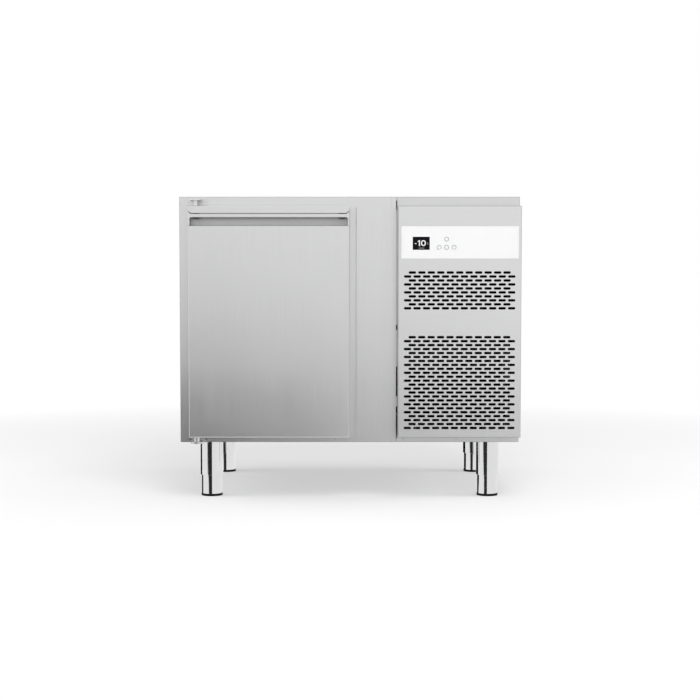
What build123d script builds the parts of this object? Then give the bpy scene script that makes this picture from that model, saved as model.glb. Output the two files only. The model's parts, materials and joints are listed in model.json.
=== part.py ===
from build123d import *
from math import ceil
import os

# Undercounter freezer: a cold module with one hinged door, and a machine bay at its right.
# Millimetres, +Z up, front towards -Y, origin on the floor under the middle of the overall box.

# Overall sizes
BODY_WIDTH = 935.0
BODY_HEIGHT = 676.0
BODY_DEPTH = 650.0
FRONT_STANDOFF = 50.0
LEG_HEIGHT = 159.0
COLD_MODULE_WIDTH = 595.5
MODULE_GAP = 2.5

# Sheets, insulated walls and the door opening
SHEET = 1.0
LINER_SHEET = 1.0
LEFT_WALL = 67.5
TOP_WALL = 66.0
BOTTOM_WALL = 58.0
BACK_WALL = 60.0
PARTITION_WALL = 60.0
OPENING_WIDTH = 360.5
MULLION_DEPTH = 60.0
END_POST_WIDTH = 13.0
FRAME_SEAM = 0.3

# Door and the bay's front panel
PANEL_TOP_GAP = 26.5
PANEL_BOTTOM_GAP = 18.2
DOOR_SIDE_GAP = 28.5
DOOR_WIDTH = 438.5
DOOR_THICKNESS = 42.0
DOOR_SHEET = 1.0
DOOR_BEND = 2.3
DOOR_LINER = 1.5
PLUG_CLEARANCE = 5.0
PLUG_REACH = 20.0
PLUG_CORNER = 12.0
GASKET_WIDTH = 18.0
GASKET_CORNER = 4.0
GASKET_LIP = 2.0
SOFT_CLEARANCE = 0.3

# Door handle and top cap
CAP_HEIGHT = 20.2
CAP_CORNER = 12.0
CAP_WALL = 2.0
CAP_EDGE = 1.5
CAP_GROOVE = 1.8
LIP_BOTTOM = 31.1
LIP_DEPTH = 8.0
LIP_EDGE = 1.5
RECESS_BOTTOM = 53.8
RECESS_DEPTH = 36.0
RECESS_END_WALL = 4.6
RECESS_CORNER = 5.0
PROFILE_SHEET = 1.5
FINGER_CEILING = 15.0
CHANNEL_END_GAP = 3.0

# Hinges
HINGE_INSET = 20.0
HINGE_SETBACK = 18.0
PIN_RADIUS = 5.0
BUSH_RADIUS = 8.0
BUSH_CLEARANCE = 0.05
BUSH_SEAT_CLEARANCE = 0.05
UPPER_BUSH_LENGTH = 34.5
LOWER_BUSH_LENGTH = 32.0
BORE_FLOOR = 5.5
PIN_TIP_GAP = 0.5
SHOULDER_GAP = 0.3
TONGUE_RADIUS = 16.5
UPPER_TONGUE = 4.0
UPPER_TONGUE_DROP = 7.0
LOWER_TONGUE = 5.0
HINGE_PLATE_WIDTH = 58.0
HINGE_PLATE_HEIGHT = 17.0
HINGE_PLATE_SHEET = 3.0
HINGE_PLATE_DROP = 6.0
HINGE_SCREW_SPREAD = 23.0

# Fixed front panel beside the door
FIXED_PANEL_GAP = 12.7
FIXED_PANEL_TOP = 28.0
FIXED_PANEL_BOTTOM = 13.0
FIXED_PANEL_PROUD = 2.0
FIXED_PANEL_STEP = 0.8
FIXED_PANEL_STEP_WIDTH = 4.4
FIXED_PANEL_BEVEL = 2.7

# Machine bay
BAY_FLANGE_TOP = 35.0
BAY_FLANGE_BOTTOM = 26.0
BAY_SIDE_FLANGE = 27.0
PARTITION_FLANGE = 9.0
BAY_BACK_SETBACK = 12.0
BAY_PANEL_GAP = 1.0
BAY_PANEL_BEND = 2.0
NOTCH_SHARES = ((0.948, 0.984), (0.460, 0.479), (0.188, 0.309), (0.016, 0.145))
NOTCH_WIDTH = 5.0
VENT_SLOT = (120.0, 6.0)
VENT_PITCH = 14.0
VENT_ROWS = 12
VENT_TOP = 410.0

# Grilles of the bay's front panel
SLOT_LENGTH = 20.2
SLOT_HEIGHT = 6.9
SLOT_PITCH_X = 25.73
SLOT_PITCH_Z = 10.8
SLOTS_IN_LONG_ROW = 12
UPPER_GRILLE_TOP = 180.6
UPPER_GRILLE_ROWS = 10
LOWER_GRILLE_TOP = 356.6
LOWER_GRILLE_ROWS = 24
GRILLE_MARGIN = 13.0

# Control plate, display and keys
PLATE_MARGIN_LEFT = 9.2
PLATE_MARGIN_RIGHT = 7.3
PLATE_TOP = 54.3
PLATE_HEIGHT = 88.8
PLATE_CLEARANCE = 0.3
PLATE_RECESS = 0.5
PLATE_SHEET = 2.5
PLATE_RIM = 3.5
DISPLAY_LEFT = 30.9
DISPLAY_BOTTOM = 24.1
DISPLAY_WIDTH = 46.0
DISPLAY_HEIGHT = 35.2
DISPLAY_DEPTH = 9.0
DISPLAY_RECESS = 0.2
DISPLAY_CLEARANCE = 0.1
KEY_RADIUS = 6.4
KEY_CLEARANCE = 0.1
KEY_PROUD = 0.3
KEY_TRAVEL = 0.8
KEY_FLANGE_RADIUS = 8.2
KEY_FLANGE = 1.5
KEY_FLANGE_GAP = 0.05
KEY_STEM_RADIUS = 2.0
KEY_COLUMN = 122.9
KEY_ROW = 30.8
KEY_PITCH_X = 20.3
KEY_PITCH_Z = 22.3
BOARD_SETBACK = 12.0
BOARD_SHEET = 1.6
BOARD_MARGIN = 12.0
BOARD_POST_RADIUS = 3.0
SWITCH_WIDTH = 6.0
SWITCH_HEIGHT = 4.0
SWITCH_GAP = 0.3
SOCKET_MARGIN = 3.0
TRANSFORMER_WIDTH = 40.0
TRANSFORMER_DEPTH = 22.0
RELAY_WIDTH = 30.0
RELAY_DEPTH = 16.0

# Legs and feet
LEG_INSET = 79.0
LEG_RADIUS = 31.75
LEG_BORE = 28.58
LEG_TUBE_LENGTH = 100.0
LEG_TOP_DISC = 3.0
LEG_STUD_RADIUS = 5.0
LEG_STUD_LENGTH = 24.0
STUD_CLEARANCE = 0.2
FOOT_CLEARANCE = 0.08
FOOT_WALL = 1.5
FOOT_ENGAGEMENT = 66.0
PAD_RADIUS = 29.5
PAD_HEIGHT = 6.3

# Screws
SCREW_RADIUS = 1.8
SCREW_HEAD_RADIUS = 3.4
SCREW_HEAD_HEIGHT = 1.8
SCREW_LENGTH = 12.0
SCREW_CLEARANCE = 0.1
STRIP_SCREW_RISE = 8.0
STRIP_SCREW_OFFSETS = (18.5, 166.0, 289.5)

# Cold room fittings
COVER_OFFSET = 98.0
INLET_ROWS = 4
POST_DEPTH = 20.0
POST_SHEET = 6.0
POST_INSETS = (90.0, 60.0)
RUNNER_HEIGHT = 20.0
RUNNER_SHEET = 2.0
RUNNER_LEDGE = 16.0
RUNNER_OVERHANG = 20.0
SHELF_HEIGHTS = (176.0, 364.0)
SHELF_ROD = 3.0
SHELF_WIRE = 1.5
SHELF_WIRE_PITCH = 18.0
SHELF_CLEARANCE = 2.0

# Evaporator
EVAPORATOR_HEIGHT = 230.0
EVAPORATOR_LENGTH = 310.0
EVAPORATOR_DEPTH = 70.0
EVAPORATOR_RISE = 53.0
EVAPORATOR_SETBACK = 160.0
EVAPORATOR_FIN_PITCH = 10.0
EVAPORATOR_TUBE = 4.5
EVAPORATOR_TUBE_INSET = 30.0
EVAPORATOR_TUBE_ROWS = 3
EVAPORATOR_STUB = 10.0
FIN_SHEET = 0.6
END_PLATE = 1.5
HEATER_RADIUS = 4.0
HEATER_DROP = 8.0
DRIP_RISE = 23.0
DRIP_WALL = 1.5
DRIP_OVERHANG = 12.0
DRIP_CLEARANCE = 1.0
SUMP_WIDTH = 18.0
DRAIN_RADIUS = 7.0
DRAIN_INSET = 60.0
DRAIN_REACH = 45.0
PIPE_HOLE_CLEARANCE = 0.5

# Fans
SHAFT_RADIUS = 3.0
SHAFT_CLEARANCE = 0.05
SHAFT_ENTRY = 18.0
MOTOR_GAP = 5.0
BLADE_SHEET = 1.6
ARM_WIDTH = 8.0
ARM_SHEET = 4.0
POST_RADIUS = 4.0
BLADE_PITCH = 22.0
EVAPORATOR_BLADE_RADIUS = 75.0
EVAPORATOR_HUB_RADIUS = 22.0
EVAPORATOR_BLADE_THICKNESS = 18.0
EVAPORATOR_BLADE_CHORD = 44.0
EVAPORATOR_FAN_OFFSET = 15.0
EVAPORATOR_FAN_TOP = 129.0
EVAPORATOR_FAN_SETBACK = 320.0
EVAPORATOR_MOTOR_RADIUS = 27.0
EVAPORATOR_MOTOR_LENGTH = 36.0
CONDENSER_BLADE_RADIUS = 115.0
CONDENSER_HUB_RADIUS = 32.0
CONDENSER_BLADE_THICKNESS = 24.0
CONDENSER_BLADE_CHORD = 60.0
CONDENSER_MOTOR_RADIUS = 38.0
CONDENSER_MOTOR_LENGTH = 60.0
FAN_TIP_GAP = 3.0
FAN_BLADES = 5
ARM_TURNS = (90, 210, 330)

# Condenser
CONDENSER_LEFT = 24.5
CONDENSER_WIDTH = 270.0
CONDENSER_RISE = 45.0
CONDENSER_HEIGHT = 250.0
CONDENSER_SETBACK = 15.0
CONDENSER_DEPTH = 60.0
CONDENSER_FIN_PITCH = 6.0
CONDENSER_TUBE = 4.0
CONDENSER_STUB = 8.0
CONDENSER_TUBE_INSET = 15.0
CONDENSER_TUBE_ROWS = 6
SHROUD_SHEET = 2.0
SHROUD_COLLAR = 28.0

# Compressor
COMPRESSOR_SIDE_INSET = 167.5
COMPRESSOR_BACK_INSET = 290.0
COMPRESSOR_RADIUS = 78.0
COMPRESSOR_HEIGHT = 175.0
COMPRESSOR_DOME = 36.0
WELD_FLANGE = 3.0
WELD_FLANGE_HEIGHT = 5.0
BASE_PLATE_SIDE = 180.0
BASE_PLATE_SHEET = 3.0
MOUNT_SPREAD = 78.0
MOUNT_RADIUS = 12.0
MOUNT_NECK = 6.0
MOUNT_HEIGHT = 14.0
MOUNT_CAP_RADIUS = 8.0
MOUNT_CAP_HEIGHT = 4.0
MOUNT_CLEARANCE = 0.1
DISCHARGE_RISE = 90.0
PORT_REACH = 17.0
TERMINAL_BOX_WIDTH = 56.0
TERMINAL_BOX_DEPTH = 26.0

# Pipes, drier, melt water tray and gland
DISCHARGE_PIPE = 3.0
SUCTION_PIPE = 4.5
LIQUID_PIPE = 3.0
CAPILLARY_PIPE = 1.5
PIPE_BEND = 10.0
PIPE_SIDE_GAP = 16.0
CAPILLARY_COLUMN = 34.0
SUCTION_COLUMN = 12.0
PIPE_PASS_INSET = 28.0
DRIER_RADIUS = 10.0
DRIER_LENGTH = 90.0
DRIER_CONE = 12.0
DRIER_SETBACK = 65.0
DRIER_STUB = 10.0
MELT_TRAY_SIZE = (200.0, 160.0, 34.0)
MELT_TRAY_LEFT = 30.0
MELT_TRAY_BACK = 20.0
MELT_TRAY_WALL = 2.0
GLAND_INSET = 67.5
GLAND_RISE = 81.0
GLAND_BORE = 5.5
GLAND_LENGTH = 22.0
GLAND_RADIUS = 8.0
GLAND_NUT_RADIUS = 12.0
GLAND_NUT_LENGTH = 6.0

# Planes worked out from the overall sizes
LEFT = -BODY_WIDTH / 2
RIGHT = BODY_WIDTH / 2
FRONT = -(BODY_DEPTH + FRONT_STANDOFF) / 2
FRAME_FRONT = FRONT + FRONT_STANDOFF
FRAME_BACK = FRAME_FRONT + SHEET
BACK = FRAME_FRONT + BODY_DEPTH
BASE = LEG_HEIGHT
TOP = BASE + BODY_HEIGHT
PARTITION = LEFT + COLD_MODULE_WIDTH
BAY_LEFT = PARTITION + MODULE_GAP
BAY_FLOOR = BASE + SHEET
BAY_CEILING = TOP - SHEET
BAY_BACK = BACK - BAY_BACK_SETBACK
ROOM_X = (LEFT + LEFT_WALL, PARTITION - PARTITION_WALL)
ROOM_Y = (FRAME_FRONT, BACK - BACK_WALL)
ROOM_Z = (BASE + BOTTOM_WALL, TOP - TOP_WALL)
OPENING_X = (ROOM_X[0], ROOM_X[0] + OPENING_WIDTH)
MULLION_BACK = FRAME_FRONT + MULLION_DEPTH
PANEL_Z = (BASE + PANEL_BOTTOM_GAP, TOP - PANEL_TOP_GAP)
COVER_X = ROOM_X[1] - COVER_OFFSET
EVAPORATOR_X = (ROOM_X[1] - EVAPORATOR_DEPTH - 2 * END_PLATE, ROOM_X[1] - 2 * END_PLATE)
EVAPORATOR_Y = (MULLION_BACK + EVAPORATOR_SETBACK, MULLION_BACK + EVAPORATOR_SETBACK + EVAPORATOR_LENGTH)
EVAPORATOR_Z = (ROOM_Z[0] + EVAPORATOR_RISE, ROOM_Z[0] + EVAPORATOR_RISE + EVAPORATOR_HEIGHT)
EVAPORATOR_TUBE_X = sum(EVAPORATOR_X) / 2
EVAPORATOR_PORTS = (EVAPORATOR_Z[0] + EVAPORATOR_TUBE_INSET, EVAPORATOR_Z[1] - EVAPORATOR_TUBE_INSET)

# Door planes
DOOR_X = (LEFT + DOOR_SIDE_GAP, LEFT + DOOR_SIDE_GAP + DOOR_WIDTH)
DOOR_TOP = PANEL_Z[1]
DOOR_BOTTOM = PANEL_Z[0]
DOOR_BACK = FRONT + DOOR_THICKNESS
DOOR_LINER_FRONT = DOOR_BACK - DOOR_LINER
RECESS_FLOOR = DOOR_TOP - RECESS_BOTTOM
RECESS_BACK = FRONT + RECESS_DEPTH
PROFILE_BACK = RECESS_BACK + PROFILE_SHEET
CAP_BOTTOM = DOOR_TOP - CAP_HEIGHT
LIP_TOP = CAP_BOTTOM - CAP_GROOVE
LIP_UNDERSIDE = DOOR_TOP - LIP_BOTTOM
LIP_BACK = FRONT + LIP_DEPTH
HINGE_Y = FRONT + HINGE_SETBACK
HINGE_XS = (DOOR_X[0] + HINGE_INSET, DOOR_X[1] - HINGE_INSET)
FINGER_TOP = DOOR_TOP - FINGER_CEILING
CHANNEL_TOP = FINGER_TOP + PROFILE_SHEET
CHANNEL_X = (
    HINGE_XS[0] + BUSH_RADIUS + CHANNEL_END_GAP,
    HINGE_XS[1] - BUSH_RADIUS - CHANNEL_END_GAP,
)

LOW_CORNER = (Align.MIN, Align.MIN, Align.MIN)
STANDING = (Align.CENTER, Align.CENTER, Align.MIN)


def block(x, y, z):
    """Return a box from the low and high bound on each axis."""
    box = Box(x[1] - x[0], y[1] - y[0], z[1] - z[0], align=LOW_CORNER)
    return Pos(x[0], y[0], z[0]) * box


def rod(start, end, radius):
    """Return a round bar between two points."""
    run = Vector(*end) - Vector(*start)
    return Plane(origin=start, z_dir=run).location * Cylinder(radius, run.length, align=STANDING)


def bent_rod(points, radius, bend):
    """Return a round bar along a bent path."""
    path = FilletPolyline(*points, radius=bend)
    first_run = Vector(*points[1]) - Vector(*points[0])
    section = Plane(origin=points[0], z_dir=first_run).location * Circle(radius)
    return sweep(section, path=path)


def even_heights(span, rows):
    """Return the heights of evenly spaced rows from the low to the high end of a span."""
    return [span[0] + row * (span[1] - span[0]) / (rows - 1) for row in range(rows)]


def front_face_edges(shape):
    """Return the edges that lie in the foremost plane of a shape."""
    return shape.edges().group_by(Axis.Y)[0]


def save(name, *shapes):
    """Write one node; its shapes stay separate solids."""
    solids = [solid for shape in shapes for solid in shape.solids()]
    export_step(Compound(solids), os.path.join("parts", name + ".step"))


# Screws: every hole and pocket below comes from these seats
HINGE_PLATE_Z = {
    "upper": (TOP - HINGE_PLATE_DROP - HINGE_PLATE_HEIGHT, TOP - HINGE_PLATE_DROP),
    "lower": (BASE, BASE + HINGE_PLATE_HEIGHT),
}
HINGE_PLATE_X = (HINGE_XS[0] - HINGE_PLATE_WIDTH / 2, HINGE_XS[0] + HINGE_PLATE_WIDTH / 2)
hinge_screw_seats = [
    (HINGE_XS[0] + side * HINGE_SCREW_SPREAD, FRAME_FRONT - HINGE_PLATE_SHEET, sum(z) / 2)
    for z in HINGE_PLATE_Z.values()
    for side in (-1, 1)
]
strip_screw_seats = [
    (BAY_LEFT + offset, FRAME_FRONT, BASE + STRIP_SCREW_RISE) for offset in STRIP_SCREW_OFFSETS
]
back_screw_seats = [
    (x, BAY_BACK, z)
    for x in (BAY_LEFT + PARTITION_FLANGE / 2, RIGHT - PARTITION_FLANGE / 2)
    for z in (BASE + BAY_FLANGE_BOTTOM, (BASE + TOP) / 2, TOP - BAY_FLANGE_TOP)
]


def screw(seat, inward):
    """Return a round-headed screw: its head on the seat, its shank along inward (+1 or -1 in Y)."""
    x, y, z = seat
    head = rod((x, y - inward * SCREW_HEAD_HEIGHT, z), (x, y, z), SCREW_HEAD_RADIUS)
    shank = rod((x, y, z), (x, y + inward * SCREW_LENGTH, z), SCREW_RADIUS)
    return head + shank


def screw_holes(seats):
    """Return the round cuts that let the screws of the given seats through."""
    reach = SCREW_LENGTH + SCREW_CLEARANCE
    radius = SCREW_RADIUS + SCREW_CLEARANCE
    return [rod((x, y - reach, z), (x, y + reach, z), radius) for x, y, z in seats]


front_screws = [screw(seat, 1) for seat in hinge_screw_seats + strip_screw_seats]
back_screws = [screw(seat, -1) for seat in back_screw_seats]
save("panel_screws", *front_screws, *back_screws)

# Legs: where they stand, and the holes for their studs
LEG_POSITIONS = {
    "front_left": (LEFT + LEG_INSET, FRAME_FRONT + LEG_INSET),
    "front_right": (RIGHT - LEG_INSET, FRAME_FRONT + LEG_INSET),
    "rear_left": (LEFT + LEG_INSET, BACK - LEG_INSET),
    "rear_right": (RIGHT - LEG_INSET, BACK - LEG_INSET),
}
LEG_TUBE_BOTTOM = BASE - LEG_TUBE_LENGTH
FOOT_RADIUS = LEG_BORE - FOOT_CLEARANCE
stud_holes = [
    rod((x, y, BASE), (x, y, BASE + LEG_STUD_LENGTH + STUD_CLEARANCE), LEG_STUD_RADIUS + STUD_CLEARANCE)
    for x, y in LEG_POSITIONS.values()
]


def leg_tube(x, y):
    """Return the upper leg tube with its top disc and stud."""
    tube = rod((x, y, LEG_TUBE_BOTTOM), (x, y, BASE), LEG_RADIUS)
    bore = rod((x, y, LEG_TUBE_BOTTOM), (x, y, BASE - LEG_TOP_DISC), LEG_BORE)
    stud = rod((x, y, BASE), (x, y, BASE + LEG_STUD_LENGTH), LEG_STUD_RADIUS)
    return tube - bore + stud


def foot_tube(x, y):
    """Return the telescoping foot tube, closed at its top."""
    top = LEG_TUBE_BOTTOM + FOOT_ENGAGEMENT
    tube = rod((x, y, PAD_HEIGHT), (x, y, top), FOOT_RADIUS)
    bore = rod((x, y, PAD_HEIGHT), (x, y, top - FOOT_WALL), FOOT_RADIUS - FOOT_WALL)
    return tube - bore


save("leg_tubes", *[leg_tube(x, y) for x, y in LEG_POSITIONS.values()])
for corner, (leg_x, leg_y) in LEG_POSITIONS.items():
    save("foot_" + corner, foot_tube(leg_x, leg_y))
    save("foot_pad_" + corner, rod((leg_x, leg_y, 0), (leg_x, leg_y, PAD_HEIGHT), PAD_RADIUS))

# What passes through the partition wall: pipes and the drain, each along X
PIPE_PASS_Y = ROOM_Y[1] - PIPE_PASS_INSET
DRAIN_Y = ROOM_Y[1] - DRAIN_INSET
DRAIN_Z = ROOM_Z[0] + DRIP_RISE / 2
wall_passes = [
    ((PIPE_PASS_Y, EVAPORATOR_PORTS[1]), CAPILLARY_PIPE),
    ((PIPE_PASS_Y, EVAPORATOR_PORTS[0]), SUCTION_PIPE),
    ((DRAIN_Y, DRAIN_Z), DRAIN_RADIUS),
]
pass_holes = [
    rod(
        (ROOM_X[1], y, z),
        (PARTITION + PARTITION_FLANGE, y, z),
        radius + PIPE_HOLE_CLEARANCE,
    )
    for (y, z), radius in wall_passes
]

# Outer sheets of the cold module
BODY_Y = (FRAME_BACK, BACK)
INNER_Z = (BASE + SHEET, TOP - SHEET)
save("left_side_panel", block((LEFT, LEFT + SHEET), BODY_Y, INNER_Z))
save("top_panel", block((LEFT, PARTITION), BODY_Y, (TOP - SHEET, TOP)))
save("bottom_panel", block((LEFT, PARTITION), BODY_Y, (BASE, BASE + SHEET)) - stud_holes)
save("back_panel", block((LEFT + SHEET, PARTITION - SHEET), (BACK - SHEET, BACK), INNER_Z))


def partition_panel():
    """Return the partition sheet, with a flange all round that closes the slit to the bay."""
    sheet = block((PARTITION - SHEET, PARTITION), BODY_Y, INNER_Z)
    flange_x = (PARTITION, PARTITION + PARTITION_FLANGE)
    ring = block(flange_x, (FRAME_BACK, BAY_BACK - SHEET), INNER_Z)
    inside_y = (FRAME_BACK + SHEET, BAY_BACK - 2 * SHEET)
    ring -= block(flange_x, inside_y, (INNER_Z[0] + SHEET, INNER_Z[1] - SHEET))
    notch_x = (PARTITION, PARTITION + NOTCH_WIDTH)
    notch_y = (FRAME_BACK, FRAME_BACK + SHEET)
    ring -= [
        block(notch_x, notch_y, (BASE + low * BODY_HEIGHT, BASE + high * BODY_HEIGHT))
        for low, high in NOTCH_SHARES
    ]
    return sheet + ring - pass_holes - screw_holes(strip_screw_seats + back_screw_seats)


save("partition_panel", partition_panel())

# Insulation: convex slabs, face to face
FOAM_X = (ROOM_X[0] - LINER_SHEET, ROOM_X[1] + LINER_SHEET)
FOAM_Y = (FRAME_BACK, BACK - SHEET)
FOAM_Z = (ROOM_Z[0] - LINER_SHEET, ROOM_Z[1] + LINER_SHEET)
MULLION_X = (OPENING_X[1] + LINER_SHEET, FOAM_X[1])
slabs = [
    block((LEFT + SHEET, FOAM_X[0]), FOAM_Y, INNER_Z),
    block((FOAM_X[1], PARTITION - SHEET), FOAM_Y, INNER_Z),
    block(FOAM_X, FOAM_Y, (FOAM_Z[1], INNER_Z[1])),
    block(FOAM_X, FOAM_Y, (INNER_Z[0], FOAM_Z[0])),
    block(FOAM_X, (ROOM_Y[1] + LINER_SHEET, FOAM_Y[1]), FOAM_Z),
    block(MULLION_X, (FOAM_Y[0], MULLION_BACK - LINER_SHEET), FOAM_Z),
]
foam_cuts = stud_holes + pass_holes + screw_holes(hinge_screw_seats)
save("insulation", *[slab - foam_cuts for slab in slabs])


def cold_room_liner():
    """Return the formed lining of the cold room, with the step round the mullion."""
    outside = block(FOAM_X, (FRAME_BACK, ROOM_Y[1] + LINER_SHEET), FOAM_Z)
    outside -= block(MULLION_X, (FRAME_BACK, MULLION_BACK - LINER_SHEET), FOAM_Z)
    inside = block(ROOM_X, ROOM_Y, ROOM_Z)
    inside -= block((OPENING_X[1], ROOM_X[1]), (FRAME_FRONT, MULLION_BACK), ROOM_Z)
    return outside - inside - pass_holes


save("cold_room_liner", cold_room_liner())

# Face frame: post, rails, mullion face and a narrow end post behind a seam
FRAME_Y = (FRAME_FRONT, FRAME_BACK)
SEAM_X = PARTITION - END_POST_WIDTH
frame_pieces = [
    block((LEFT, OPENING_X[0]), FRAME_Y, (BASE, TOP)),
    block(OPENING_X, FRAME_Y, (ROOM_Z[1], TOP)),
    block(OPENING_X, FRAME_Y, (BASE, ROOM_Z[0])),
    block((OPENING_X[1], SEAM_X - FRAME_SEAM / 2), FRAME_Y, (BASE, TOP)),
    block((SEAM_X + FRAME_SEAM / 2, PARTITION), FRAME_Y, (BASE, TOP)),
]
save("face_frame", *[piece - screw_holes(hinge_screw_seats) for piece in frame_pieces])


def fixed_front_panel():
    """Return the cover beside the door; its left edge steps and slopes up to the flat."""
    left = DOOR_X[1] + FIXED_PANEL_GAP
    outline = Polyline(
        (left, FRAME_FRONT),
        (left, FRAME_FRONT - FIXED_PANEL_STEP),
        (left + FIXED_PANEL_STEP_WIDTH, FRAME_FRONT - FIXED_PANEL_STEP),
        (left + FIXED_PANEL_STEP_WIDTH + FIXED_PANEL_BEVEL, FRAME_FRONT - FIXED_PANEL_PROUD),
        (PARTITION, FRAME_FRONT - FIXED_PANEL_PROUD),
        (PARTITION, FRAME_FRONT),
        close=True,
    )
    bottom = BASE + FIXED_PANEL_BOTTOM
    height = TOP - FIXED_PANEL_TOP - bottom
    return Pos(0, 0, bottom) * extrude(make_face(outline), height, dir=(0, 0, 1))


save("fixed_front_panel", fixed_front_panel())


def hinge_bracket(plate_z, tongue_z):
    """Return a screwed-on plate and the round-nosed tongue that carries the pin."""
    plate = block(HINGE_PLATE_X, (FRAME_FRONT - HINGE_PLATE_SHEET, FRAME_FRONT), plate_z)
    tongue_x = (HINGE_XS[0] - TONGUE_RADIUS, HINGE_XS[0] + TONGUE_RADIUS)
    tongue = block(tongue_x, (HINGE_Y, FRAME_FRONT), tongue_z)
    nose = rod((HINGE_XS[0], HINGE_Y, tongue_z[0]), (HINGE_XS[0], HINGE_Y, tongue_z[1]), TONGUE_RADIUS)
    return plate + tongue + nose - screw_holes(hinge_screw_seats)


UPPER_TONGUE_Z = (TOP - UPPER_TONGUE_DROP - UPPER_TONGUE, TOP - UPPER_TONGUE_DROP)
LOWER_TONGUE_Z = (BASE, BASE + LOWER_TONGUE)
UPPER_BORE_END = DOOR_TOP - UPPER_BUSH_LENGTH + BORE_FLOOR
LOWER_BORE_END = DOOR_BOTTOM + LOWER_BUSH_LENGTH - BORE_FLOOR
SHOULDER_TOP = DOOR_BOTTOM - SHOULDER_GAP


def upper_hinge_bracket():
    """Return the upper bracket with its hanging pin."""
    pin_end = (HINGE_XS[0], HINGE_Y, UPPER_BORE_END + PIN_TIP_GAP)
    pin = rod(pin_end, (HINGE_XS[0], HINGE_Y, UPPER_TONGUE_Z[1]), PIN_RADIUS)
    return hinge_bracket(HINGE_PLATE_Z["upper"], UPPER_TONGUE_Z) + pin


def lower_hinge_bracket():
    """Return the lower bracket with its standing pin and the shoulder under the door."""
    foot = (HINGE_XS[0], HINGE_Y, LOWER_TONGUE_Z[0])
    shoulder = rod(foot, (HINGE_XS[0], HINGE_Y, SHOULDER_TOP), BUSH_RADIUS)
    pin = rod(foot, (HINGE_XS[0], HINGE_Y, LOWER_BORE_END - PIN_TIP_GAP), PIN_RADIUS)
    return hinge_bracket(HINGE_PLATE_Z["lower"], LOWER_TONGUE_Z) + shoulder + pin


save("upper_hinge_bracket", upper_hinge_bracket())
save("lower_hinge_bracket", lower_hinge_bracket())

# Door
bush_spans = [
    (x, z)
    for x in HINGE_XS
    for z in ((DOOR_TOP - UPPER_BUSH_LENGTH, DOOR_TOP), (DOOR_BOTTOM, DOOR_BOTTOM + LOWER_BUSH_LENGTH))
]
bush_holes = [
    rod((x, HINGE_Y, z[0]), (x, HINGE_Y, z[1]), BUSH_RADIUS + BUSH_SEAT_CLEARANCE) for x, z in bush_spans
]


def hinge_bush(x, z):
    """Return a blind bush; its bore opens at the door's top or bottom edge."""
    outside = rod((x, HINGE_Y, z[0]), (x, HINGE_Y, z[1]), BUSH_RADIUS)
    bore_z = (UPPER_BORE_END, z[1]) if z[1] == DOOR_TOP else (z[0], LOWER_BORE_END)
    bore = rod((x, HINGE_Y, bore_z[0]), (x, HINGE_Y, bore_z[1]), PIN_RADIUS + BUSH_CLEARANCE)
    return outside - bore


save("door_hinge_bushes", *[hinge_bush(x, z) for x, z in bush_spans])


def door_outer_skin():
    """Return the front sheet, bent back along all four edges."""
    outside = block(DOOR_X, (FRONT, DOOR_LINER_FRONT), (DOOR_BOTTOM, RECESS_FLOOR))
    outside = fillet(front_face_edges(outside), DOOR_BEND)
    inside_x = (DOOR_X[0] + DOOR_SHEET, DOOR_X[1] - DOOR_SHEET)
    inside_z = (DOOR_BOTTOM + DOOR_SHEET, RECESS_FLOOR - DOOR_SHEET)
    inside = block(inside_x, (FRONT + DOOR_SHEET, DOOR_LINER_FRONT), inside_z)
    inside = fillet(front_face_edges(inside), DOOR_BEND - DOOR_SHEET)
    behind_recess = block(inside_x, (PROFILE_BACK, DOOR_LINER_FRONT), (inside_z[1], RECESS_FLOOR))
    return outside - inside - behind_recess - bush_holes


def recess_mouth():
    """Return the space of the recess, its upper corners rounded at the front."""
    width = DOOR_WIDTH - 2 * RECESS_END_WALL
    height = LIP_UNDERSIDE - RECESS_FLOOR
    outline = Plane.XZ * Pos(sum(DOOR_X) / 2, RECESS_FLOOR + height / 2) * Rectangle(width, height)
    mouth = Pos(0, RECESS_BACK, 0) * extrude(outline, RECESS_DEPTH)
    upper_corners = mouth.edges().filter_by(Axis.Y).group_by(Axis.Z)[-1]
    return fillet(upper_corners, RECESS_CORNER)


def cap_corner(side, radius):
    """Return a round bar along Y about the centre of one lower corner of the top cap."""
    x = DOOR_X[0] + CAP_CORNER if side < 0 else DOOR_X[1] - CAP_CORNER
    z = CAP_BOTTOM + CAP_CORNER
    return rod((x, FRONT, z), (x, PROFILE_BACK, z), radius)


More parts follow.
